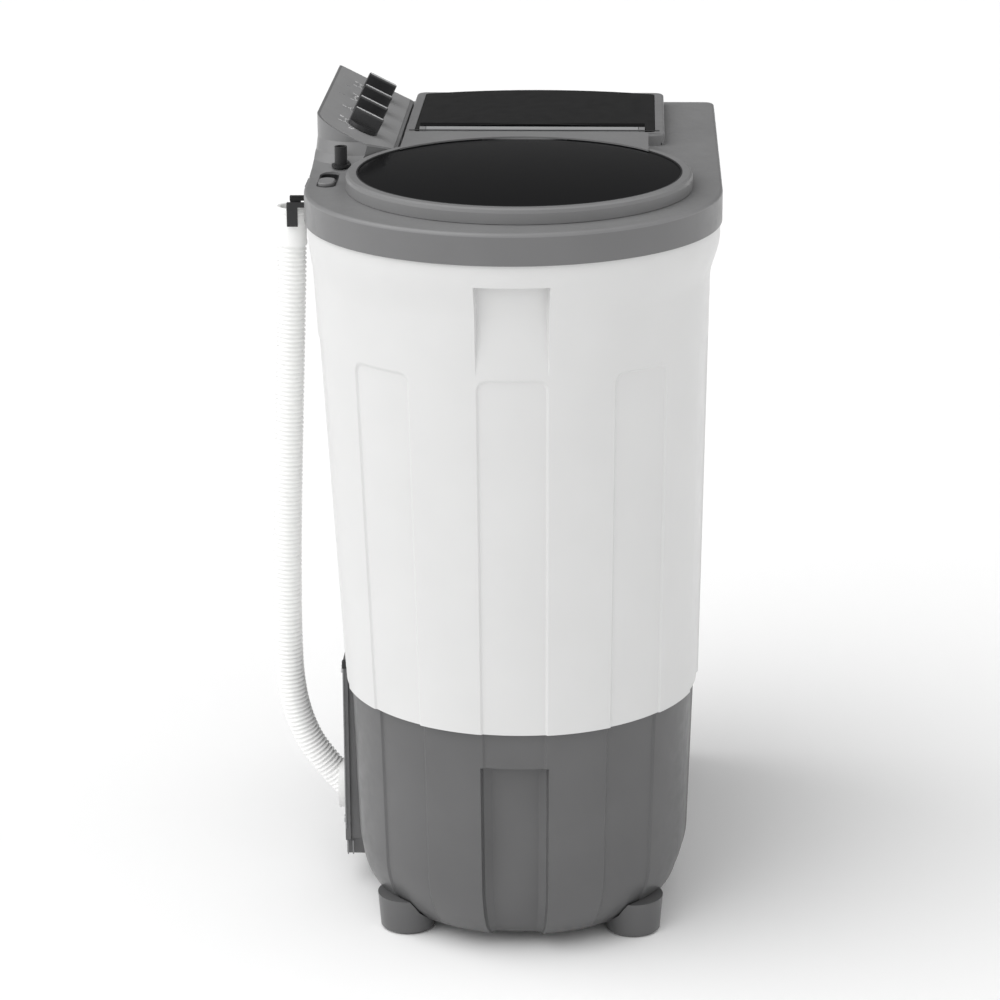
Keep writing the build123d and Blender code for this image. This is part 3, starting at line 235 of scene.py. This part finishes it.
def rounded_profile(corners, steps=5):
    """Closed profile of (r, z, corner radius) points with its corners rounded."""
    out = []
    for k, (x, y, rad) in enumerate(corners):
        p, a, b = Vector((x, y)), Vector(corners[k - 1][:2]), Vector(corners[(k + 1) % len(corners)][:2])
        if rad <= 0:
            out.append((x, y))
            continue
        u, v = (a - p).normalized(), (b - p).normalized()
        half = u.angle(v) / 2
        cut = min(rad / math.tan(half), 0.49 * (a - p).length, 0.49 * (b - p).length)
        rr = cut * math.tan(half)
        centre = p + (u + v).normalized() * rr / math.sin(half)
        s, e = p + u * cut - centre, p + v * cut - centre
        sweep = math.atan2(s.x * e.y - s.y * e.x, s.dot(e))
        for i in range(steps + 1):
            t = sweep * i / steps
            out.append((centre.x + s.x * math.cos(t) - s.y * math.sin(t),
                        centre.y + s.x * math.sin(t) + s.y * math.cos(t)))
    return out


def revolve(profile, cx, cy, steps=256, a0=0.0, a1=360.0):
    """Closed profile of (r, z) turned about an upright axis, all the way or between two angles with ends."""
    whole = a1 - a0 >= 360.0
    count = steps if whole else steps + 1
    verts = []
    for k in range(count):
        a = math.radians(a0 + (a1 - a0) * k / steps)
        verts += [(cx + r * math.cos(a), cy + r * math.sin(a), z) for r, z in profile]
    n = len(profile)
    faces = grid_faces(count, n, 0, whole, True)
    if not whole:
        faces += [tuple(range(n - 1, -1, -1)), tuple((count - 1) * n + j for j in range(n))]
    return verts, faces


def smooth_step(t):
    t = max(0.0, min(1.0, t))
    return t * t * (3 - 2 * t)


def inside_round_box(s, z, half, z0, z1, r):
    """Distance in from the edge of a rounded rectangle, negative outside it."""
    qs, qz = abs(s) - (half - r), abs(z - (z0 + z1) / 2) - ((z1 - z0) / 2 - r)
    return r - math.hypot(max(qs, 0), max(qz, 0)) - min(max(qs, qz), 0)


def levels(z0, z1, step, fine=()):
    """Heights from z0 to z1, closer together inside the fine bands (low, high, step)."""
    zs = {round(z0 + (z1 - z0) * i / max(1, round((z1 - z0) / step)),
                3) for i in range(int(round((z1 - z0) / step)) + 1)}
    for a, b, s in fine:
        zs = {z for z in zs if z < a - s or z > b + s}
        zs |= {round(a + (b - a) * i / round((b - a) / s), 3) for i in range(int(round((b - a) / s)) + 1)}
    return sorted(z for z in zs | {z0, z1} if z0 <= z <= z1)


# ---- drain hose --------------------------------------------------------------------------------------
def hose_line():
    """The hose's own line: a smooth curve with the route's points, read back as points in metres."""
    curve = bpy.data.curves.new("hose_route", "CURVE")
    curve.dimensions = "3D"
    curve.resolution_u = 64
    spline = curve.splines.new("NURBS")
    spline.points.add(len(HOSE_ROUTE) - 1)
    for point, (y, z) in zip(spline.points, HOSE_ROUTE):
        point.co = (HOSE_X * MM, (TUB_Y + y) * MM, z * MM, 1.0)
    spline.order_u = 3
    spline.use_endpoint_u = True
    holder = bpy.data.objects.new("hose_route", curve)
    bpy.context.scene.collection.objects.link(holder)
    line = bpy.data.meshes.new_from_object(holder)
    points = [v.co.copy() for v in line.vertices]
    bpy.data.objects.remove(holder)
    bpy.data.meshes.remove(line)
    return points


def at_distances(points, gap):
    """The same line at even distances."""
    out, carry = [points[0]], 0.0
    for a, b in zip(points, points[1:]):
        span = (b - a).length
        d = gap - carry
        while d <= span:
            out.append(a.lerp(b, d / span))
            d += gap
        carry = (carry + span) % gap
    return out


def tube_along(line, radius_at, turn=40):
    """Rings of points in mm round a line in the YZ plane."""
    verts = []
    for k, p in enumerate(line):
        a, b = line[max(0, k - 1)], line[min(len(line) - 1, k + 1)]
        t = (b - a).normalized()
        side = Vector((1, 0, 0))
        up = side.cross(t).normalized()
        r = radius_at(k)
        for i in range(turn):
            w = 2 * math.pi * i / turn
            q = p / MM + (side * math.cos(w) + up * math.sin(w)) * r
            verts.append(tuple(q))
    return verts


def make_hose():
    """Corrugated drain hose, open at its top end inside the cuff."""
    gap, per_ring = 0.00104, 5
    line = at_distances(hose_line(), gap)
    crest = [1.0, 0.93, 0.32, 0.0, 0.32]
    outer = tube_along(line, lambda k: HOSE_R - 2.3 * (1 - crest[k % per_ring]))
    inner = tube_along(line, lambda k: HOSE_R - 3.6 - 2.0 * (1 - crest[k % per_ring]))
    rows, turn = len(line), 40
    faces = grid_faces(rows, turn, 0, False, True)
    faces += [tuple(reversed(f)) for f in grid_faces(rows, turn, rows * turn, False, True)]
    for row in (0, rows - 1):
        for i in range(turn):
            j = (i + 1) % turn
            a, b = row * turn + i, row * turn + j
            faces.append((a, b, b + rows * turn, a + rows * turn))
    hose = add_piece("drain_hose_tube", outer + inner, faces, "cabinet", M["hose"],
                     ("drain_hose",), sharp=80)
    length = sum((b - a).length for a, b in zip(line, line[1:]))
    return hose, line, length


def make_cuff(line):
    """Smooth cuff with a rolled rim on the upper end of the hose."""
    end, before = line[-1], line[-6]
    t = (end - before).normalized()
    side = Vector((1, 0, 0))
    up = side.cross(t).normalized()
    prof = rounded_profile([(13.6, -6, 0.4), (17.2, -6, 0.8), (17.2, -2, 0.5), (16.6, 0, 0.5), (16.4, 30,
            0.4), (17.4, 32, 0.5),
                            (17.4, 37.6, 1.0), (13.6, 37.6, 0.8)], 4)
    verts, steps = [], 96
    for k in range(steps):
        w = 2 * math.pi * k / steps
        for r, h in prof:
            verts.append(tuple(end / MM + t * h + (side * math.cos(w) + up * math.sin(w)) * r))
    return add_piece("hose_end_cuff", verts, grid_faces(steps, len(prof), 0, True, True), "cabinet",
                     M["hose"],
                     ("hose_cuff",), sharp=50)


set_camera()
hose, hose_points, hose_length = make_hose()
cuff = make_cuff(hose_points)


# ---- casing ------------------------------------------------------------------------------------------
def near_angles():
    """Angles round the wash end, closer together at the edges of the panels and of the pocket."""
    angles = {round(-88 + 176 * i / 300, 4) for i in range(301)}
    edges = [k * PANEL_PITCH + s * PANEL_HALF for k in range(-2, 3) for s in (-1, 1)] + [-POCKET_HALF,
            POCKET_HALF]
    for e in edges:
        angles |= {round(e + 0.13 * i, 4) for i in range(-7, 8)}
    return sorted((a for a in angles if -88 <= a <= 88), reverse=True)


NEAR_ANGLES = near_angles()


def casing_ring(z, r, cx, cy, far, corner, side=56, turn=12, end=44):
    """Outline of the casing at one height as (x, y, nx, ny), round the wash end and back."""
    ring = []
    for angle in NEAR_ANGLES:
        d = Vector((-math.cos(math.radians(angle)), math.sin(math.radians(angle))))
        o = Vector((TUB_X - cx, TUB_Y - cy))
        b, c = o.dot(d), o.length_squared - r * r
        p = o + d * (-b + math.sqrt(b * b - c))
        if p.x > 0:
            side_y = r if angle > 0 else -r
            p = o + d * ((side_y - o.y) / d.y)
            n = Vector((0, 1 if angle > 0 else -1))
        else:
            n = p.normalized()
        ring.append((p.x + cx, p.y + cy, n.x, n.y))
    x0, x1 = ring[-1][0], far - corner
    ring += [(x0 + (x1 - x0) * i / side, cy - r, 0.0, -1.0) for i in range(1, side)]
    for a0, yc in ((-90, cy - r + corner), (0, cy + r - corner)):
        for i in range(turn + 1):
            a = math.radians(a0 + 90 * i / turn)
            ring.append((x1 + corner * math.cos(a), yc + corner * math.sin(a), math.cos(a), math.sin(a)))
        if a0 == -90:
            y0, y1 = cy - r + corner, cy + r - corner
            ring += [(far, y0 + (y1 - y0) * i / end, 1.0, 0.0) for i in range(1, end)]
    x2 = ring[0][0]
    ring += [(x1 + (x2 - x1) * i / side, cy + r, 0.0, 1.0) for i in range(1, side)]
    return ring


def along_panel(x, y, nx, ny, radius):
    """Distance along the wall from the nearest panel's centre line."""
    if x < TUB_X - 2 or abs(ny) < 0.9 and nx < 0:
        angle = math.degrees(math.atan2(y - TUB_Y, TUB_X - x))
        k = max(-2, min(2, round(angle / PANEL_PITCH)))
        return math.radians(angle - k * PANEL_PITCH) * radius, k
    if ny < -0.99:
        near = min(SIDE_PANELS_X, key=lambda c: abs(c - x))
        return x - near, 9
    if nx > 0.99:
        near = min((-118.0, -6.0, 106.0), key=lambda c: abs(c - y))
        return y - near, 9
    return 999.0, 9


def body_recess(x, y, z, nx, ny):
    """How far the white body is recessed at a point: shallow panels and the grip recess."""
    s, k = along_panel(x, y, nx, ny, 213.0)
    half = math.radians(PANEL_HALF) * 213.0 if k != 9 else PANEL_W / 2
    depth = 2.2 * smooth_step(inside_round_box(s, z, half, SEAM_Z - 60, PANEL_TOP_Z, 13.0) / 3.2)
    if k == 0:
        into = inside_round_box(s, z, half, GRIP_LOW_Z - 20, GRIP_TOP_Z, 1.5)
        deep = GRIP_DEPTH * max(0.0, (z - GRIP_LOW_Z - 2) / (GRIP_TOP_Z - GRIP_LOW_Z))
        depth = max(depth, deep * smooth_step(into / 1.3))
    return depth


def base_recess(x, y, z, nx, ny):
    """Recess of the grey base: the panels go on down it, and the pocket is deep with a chamfered back."""
    s, k = along_panel(x, y, nx, ny, 191.0)
    half = math.radians(PANEL_HALF) * 191.0 if k != 9 else PANEL_W / 2
    depth = 2.2 * smooth_step(inside_round_box(s, z, half, PANEL_LOW_Z - 42, SEAM_Z + 60, 16.0) / 3.0)
    if k == 0:
        wide = math.radians(POCKET_HALF) * 191.0
        into = inside_round_box(s, z, wide, BASE_Z - 60, POCKET_TOP_Z, 1.2)
        fade = smooth_step((z - BASE_Z + 14) / 60.0)
        deep = POCKET_DEPTH * (0.35 + 0.65 * fade)
        chamfer = min(1.0, 0.55 + 0.45 * max(0.0, (wide - abs(s) - 1.0)) / 8.0)
        depth = max(depth, deep * chamfer * smooth_step(into / 1.2))
    return depth


def casing_shell(name, rows, recess, wall, mat, replaces, floor=False):
    """Closed shell through outline rows, with a recess on its outer face; a floor closes its lower end."""
    outer, inner, n = [], [], 0
    for k, row in enumerate(rows):
        ring = casing_ring(*row)
        n = len(ring)
        z = row[0]
        zi = z + (wall if floor and k == 0 else 0.0)
        for x, y, nx, ny in ring:
            d = recess(x, y, z, nx, ny)
            outer.append((x - nx * d, y - ny * d, z))
            inner.append((x - nx * (d + wall), y - ny * (d + wall), zi))
    m = len(rows)
    faces = grid_faces(m, n, 0, False, True)
    faces += [tuple(reversed(f)) for f in grid_faces(m, n, m * n, False, True)]
    for row in ((m - 1,) if floor else (0, m - 1)):
        for i in range(n):
            a, b = row * n + i, row * n + (i + 1) % n
            faces.append((a, b, b + m * n, a + m * n))
    if floor:
        faces += [tuple(range(n)), tuple(m * n + i for i in range(n - 1, -1, -1))]
    return add_piece(name, outer + inner, faces, "cabinet", mat, replaces, sharp=38)


def body_row(z):
    """White body at a height: straight taper, then a soft flare under the deck band."""
    t = (z - SEAM_Z) / (745.0 - SEAM_Z)
    r, cx, cy, far = 201.5 + 16.5 * t, -131.0 + 4.0 * t, -7.5 + 9.5 * t, 331.0 + 13.0 * t
    flare = smooth_step((z - 744.0) / 46.0)
    lip = smooth_step((z - 786.0) / 14.0)
    cy -= 3.4 * flare
    return z, r + 6.2 * flare + 0.6 * lip - 1.2 * max(0.0,
                                                      (z - 790) / 15.0), cx, cy, far + 5.5 * flare, 60.0 - 20 * flare


def base_row(z):
    """Grey base at a height: near-upright wall above a bowl-like bottom."""
    if z >= 96.0:
        t = (z - 96.0) / (SEAM_Z - 96.0)
        return z, 190.5 + 5.5 * t, -129.0, -8.0, 320.5 + 5.5 * t, 62.0
    c = (96.0 - z) / (96.0 - BASE_Z)
    drawn = 60.0 * (1 - math.sqrt(max(0.0, 1 - c * c)))
    return z, 190.5 - drawn, -129.0, -8.0, 320.5 - drawn, max(62.0 - drawn, 6.0)


def make_casing():
    body_zs = levels(SEAM_Z, DECK_Z - BAND, 9.0, [(664, 684, 1.1), (742, 800, 3.0), (776, 785, 0.75)])
    casing_shell("body_shell_skin", [body_row(z) for z in body_zs], body_recess, 3.0,
                 M["white"],
                 ("body_shell",))
    bowl = [96.0 - (96.0 - BASE_Z) * math.cos(math.radians(90 * i / 26)) for i in range(26)]
    base_zs = sorted(set([round(z, 3) for z in bowl] + levels(96.0, SEAM_Z, 8.0, [(228, 236, 0.7)])))
    casing_shell("base_shell_skin", [base_row(z) for z in base_zs], base_recess, 3.0,
                 M["base"],
                 ("base_shell",), floor=True)


make_casing()


# ---- CAD nodes that keep their shape -----------------------------------------------------------------
KEEP = {
    "top_frame": "deck", "control_housing": "panel", "control_fascia": "fascia",
    "rear_cover": "cover", "rear_panel": "white",
    "floor_plate": "black", "feet": "base", "wash_lid_ring": "deck", "wash_lid_glass": "glass",
    "wash_lid_hinge_strip": "deck", "wash_lid_pin": "steel", "spin_surround": "panel",
    "spin_lid_panel": "lid",
    "spin_lid_hinge_bar": "trim", "spin_lid_pin": "steel", "timer_boxes": "tub",
    "switch_boxes": "tub", "inlet_nozzle": "black",
    "inlet_selector": "panel", "wash_tub": "tub", "lint_filter": "basket", "pulsator": "basket",
    "pulsator_screw": "steel",
    "wash_shaft": "steel", "gearcase": "alu", "wash_pulley": "alu", "drive_belt": "rubber",
    "wash_motor": "motor",
    "motor_pulley": "steel", "motor_mounts": "rubber", "spin_tub": "tub", "spin_basket": "basket",
    "balance_ring": "tub",
    "spin_shaft": "steel", "brake_drum": "steel", "brake_lever": "steel",
    "shaft_bellows": "rubber", "motor_springs": "steel",
    "spin_motor": "motor", "drain_valve": "tub", "valve_plunger": "rubber", "drain_link": "steel",
    "internal_hose": "rubber",
    "drain_spigot": "hose", "hose_hook": "black", "cord_gland": "rubber", "run_capacitor": "base",
    "cover_screws": "steel",
}
for knob in ("wash_timer", "wash_program", "drain_selector", "spin_timer"):
    KEEP[knob + "_knob"] = "knob"
    KEEP[knob + "_pointer"] = "bright"


def dress_cad_nodes():
    """Gives every CAD node that still shows its material."""
    for name, node in NODES.items():
        if node.hide_render:
            continue
        node.data.materials.clear()
        node.data.materials.append(M[KEEP[name]])
        for polygon in node.data.polygons:
            polygon.material_index = 0
    # painted shade: the upright faces of the deck band get the darker band grey in place of the shade that falls on
    # them
    deck = NODES["top_frame"]
    deck.data.materials.append(M["band"])
    for polygon in deck.data.polygons:
        if polygon.center.z < (DECK_Z - 4.5) * MM and abs(polygon.normal.z) < 0.3:
            polygon.material_index = 1


dress_cad_nodes()


# ---- printed scale, slot liner and pieces of painted shade and highlight -----------------------------
FACE_Z = 871.2
SLOT_AT, SLOT_LENGTH, SLOT_WIDTH = (TUB_X + 20.0, TUB_Y + 211.5), 64.0, 19.0


def on_face(x, u, v, lift):
    """Point on the sloped face: u across, v up the slope from a knob's centre, lift off the face."""
    k = math.hypot(1.0, PANEL_SLOPE)
    return (x + u, KNOB_Y + (v - lift * PANEL_SLOPE) / k, FACE_Z + (v * PANEL_SLOPE + lift) / k)


def tick(verts, faces, x, a, r0, r1, width):
    """Raised printed stroke that points at a knob."""
    c, d = math.cos(math.radians(a)), math.sin(math.radians(a))
    base = len(verts)
    for lift in (0.6, 0.95):
        for r, w in ((r0, -1), (r0, 1), (r1, 1), (r1, -1)):
            verts.append(on_face(x, r * c - w * width / 2 * d, r * d + w * width / 2 * c, lift))
    for f in ((0, 1, 2, 3), (7, 6, 5, 4), (0, 4, 5, 1), (1, 5, 6, 2), (2, 6, 7, 3), (3, 7, 4, 0)):
        faces.append(tuple(base + k for k in f))


def number(verts, faces, x, text, a, r, size):
    """Raised printed number beside a knob."""
    curve = bpy.data.curves.new("number", "FONT")
    curve.body, curve.size, curve.extrude = text, size, 0.17
    curve.align_x, curve.align_y, curve.resolution_u = "CENTER", "CENTER", 6
    holder = bpy.data.objects.new("number", curve)
    bpy.context.scene.collection.objects.link(holder)
    mesh = bpy.data.meshes.new_from_object(holder)
    base = len(verts)
    u, v = r * math.cos(math.radians(a)), r * math.sin(math.radians(a))
    verts += [on_face(x, u + p.co.x, v + p.co.y, 0.78 + p.co.z) for p in mesh.vertices]
    faces += [tuple(base + k for k in p.vertices) for p in mesh.polygons]
    bpy.data.objects.remove(holder)
    bpy.data.meshes.remove(mesh)
    bpy.data.curves.remove(curve)


def make_marks():
    """White scale round each knob: minutes on the timers, steps on the two selectors."""
    verts, faces = [], []
    scales = (("0", "5", "10", "15"), ("1", "2", "3"), ("1", "2"), ("0", "2", "4", "5"))
    for x, labels in zip(KNOB_X, scales):
        low, high = (25.0, 155.0) if len(labels) > 2 else (55.0, 125.0)
        for k, text in enumerate(labels):
            a = high - (high - low) * k / (len(labels) - 1)
            tick(verts, faces, x, a, 20.5, 24.5, 1.4)
            number(verts, faces, x, text, a, 28.6, 6.6)
        for k in range(13):
            a = high - (high - low) * k / 12
            tick(verts, faces, x, a, 20.5, 22.3, 0.7)
    add_piece("fascia_scale_marks", verts, faces, "cabinet", M["print"], sharp=20)


def stadium(length, width, z, turn=24):
    """Outline of the selector slot at one height."""
    r, half = width / 2, (length - width) / 2
    ends = arc_points(half, 0, r, -90, 90, turn) + arc_points(-half, 0, r, 90, 270, turn)
    return [(SLOT_AT[0] + x, SLOT_AT[1] + y, z) for x, y in ends]


def make_slot_shade_liner():
    """Black liner round the inside and rim of the selector slot, painting the shade in the slot."""
    top = DECK_Z + 0.6
    rows = [stadium(SLOT_LENGTH - 0.1, SLOT_WIDTH - 0.1, DECK_Z - 5.5), stadium(SLOT_LENGTH - 0.1,
            SLOT_WIDTH - 0.1, DECK_Z),
            stadium(SLOT_LENGTH + 2.4, SLOT_WIDTH + 2.4, DECK_Z + 0.1), stadium(SLOT_LENGTH + 2.0,
                    SLOT_WIDTH + 2.0, top),
            stadium(SLOT_LENGTH - 0.6, SLOT_WIDTH - 0.6, top), stadium(SLOT_LENGTH - 0.8, SLOT_WIDTH - 0.8,
                    DECK_Z - 5.5)]
    verts = [p for row in rows for p in row]
    # painted shade: the black liner stands in for the shade inside the slot
    add_piece("selector_slot_shade_liner", verts, grid_faces(len(rows), len(rows[0]), 0, True, True), "cabinet",
              M["black"], sharp=35)


def box_piece(name, spans, body, mat, bevel=0.6):
    """Rounded boxes given as (x0, x1, y0, y1, z0, z1), joined in one piece."""
    verts, faces = [], []
    for x0, x1, y0, y1, z0, z1 in spans:
        base = len(verts)
        b = min(bevel, (x1 - x0) / 3, (y1 - y0) / 3, (z1 - z0) / 3)
        for z, inset in ((z0, b), (z0 + b, 0.0), (z1 - b, 0.0), (z1, b)):
            ring = []
            for cx, cy, a in ((x1, y1, 0), (x0, y1, 90), (x0, y0, 180), (x1, y0, 270)):
                sx, sy = (1 if cx == x1 else -1), (1 if cy == y1 else -1)
                ring += [(px, py) for px, py in arc_points(cx - sx * (b + inset), cy - sy * (b + inset), b,
                                                           a, a + 90, 4)]
            verts += [(px, py, z) for px, py in ring]
        n = 20
        faces += grid_faces(4, n, base, False, True)
        faces += [tuple(base + k for k in range(n)), tuple(base + 3 * n + k for k in range(n - 1, -1, -1))]
    return add_piece(name, verts, faces, body, mat, sharp=40)


def make_cover_trim():
    """Painted edge highlight as a thin light strip, black cap and the two short ribs at the foot of the rear cover.
    """
    x = COVER_X0
    # painted highlight: a thin light strip stands in for the light caught along the cover's edge
    box_piece("rear_cover_painted_edge_highlight", [(x - 0.8, x - 0.1, COVER_Y - 1.6, COVER_Y - 0.2, 72.0, 272.0)],
              "cabinet",
              M["trim"], 0.2)
    box_piece("rear_cover_cap", [(x - 1.2, x + 5.0, COVER_Y - 6.2, COVER_Y + 0.4, 272.0, 281.0)], "cabinet",
              M["black"], 0.5)
    box_piece("rear_cover_ribs", [(x - 1.0, x + 1.0, COVER_Y - d - 1.4, COVER_Y - d, 40.0,
                                   57.0) for d in (2.0, 8.0)],
              "cabinet", M["trim"], 0.3)


def make_lid_shadow_gap():
    """Black ring that paints the shadow seen as a thin dark line between the wash lid's glass and its ring."""
    z = DECK_Z + LID_H
    profile = rounded_profile([(GLASS_R - 0.9, z - 2.2, 0.2), (GLASS_R + 0.9, z - 2.2, 0.2),
                               (GLASS_R + 0.9, z + 0.25, 0.3),
                               (GLASS_R - 0.9, z + 0.25, 0.3)], 3)
    verts, faces = revolve(profile, TUB_X, TUB_Y, 240, 16.0, 344.0)
    # painted shadow: a black ring stands in for the dark gap between the glass and its ring
    add_piece("wash_lid_painted_shadow_ring", verts, faces, "wash_lid", M["black"], sharp=40)


make_marks()
make_slot_shade_liner()
def make_lid_gap_shadow():
    """Black strip along the near edge of the spin surround that paints the shadow in the gap there."""
    low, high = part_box("spin_surround")
    x0, y0, y1, top = low[0] / MM, low[1] / MM, high[1] / MM, high[2] / MM
    # painted shadow: a thin black strip on the rim top stands in for the dark gap
    box_piece("spin_lid_painted_gap_shadow", [(x0 + 1.0, x0 + 3.4, y0 + 6, y1 - 6, top - 0.6, top + 0.35)], "cabinet",
              M["black"], 0.25)


make_cover_trim()
make_lid_shadow_gap()
make_lid_gap_shadow()


# ---- floor and light ---------------------------------------------------------------------------------
def make_stage():
    """Plain pale floor, white surroundings and soft studio light from the front left."""
    mesh = bpy.data.meshes.new("floor")
    mesh.from_pydata([(-30, -30, 0), (60, -30, 0), (60, 30, 0), (-30, 30, 0)], [], [(0, 1, 2, 3)])
    floor = bpy.data.objects.new("floor", mesh)
    bpy.context.scene.collection.objects.link(floor)
    mesh.materials.append(finish_material("floor_pale", (0.97, 0.97, 0.97), 0.7, vary=0.0, bump=0.02))
    world = bpy.data.worlds.new("studio")
    world.use_nodes = True
    tree = world.node_tree
    direction = tree.nodes.new("ShaderNodeTexCoord")
    split = tree.nodes.new("ShaderNodeSeparateXYZ")
    card = tree.nodes.new("ShaderNodeMapRange")
    card.interpolation_type = "SMOOTHSTEP"
    card.inputs["From Min"].default_value = 0.25
    card.inputs["From Max"].default_value = 0.95
    card.inputs["To Min"].default_value = 1.0
    card.inputs["To Max"].default_value = 0.16
    tree.links.new(direction.outputs["Generated"], split.inputs["Vector"])
    tree.links.new(split.outputs["X"], card.inputs["Value"])
    tree.links.new(card.outputs["Result"], tree.nodes["Background"].inputs["Color"])
    world.node_tree.nodes["Background"].inputs["Strength"].default_value = 0.82
    bpy.context.scene.world = world
    sun = bpy.data.lights.new("soft_sun", "SUN")
    sun.energy, sun.angle = 1.62, math.radians(70)
    lamp = bpy.data.objects.new("soft_sun", sun)
    bpy.context.scene.collection.objects.link(lamp)
    lamp.matrix_world = Vector((0.3, -0.8, -1)).to_track_quat("-Z", "Y").to_matrix().to_4x4()
    bpy.context.scene.view_settings.view_transform = "Standard"


make_stage()
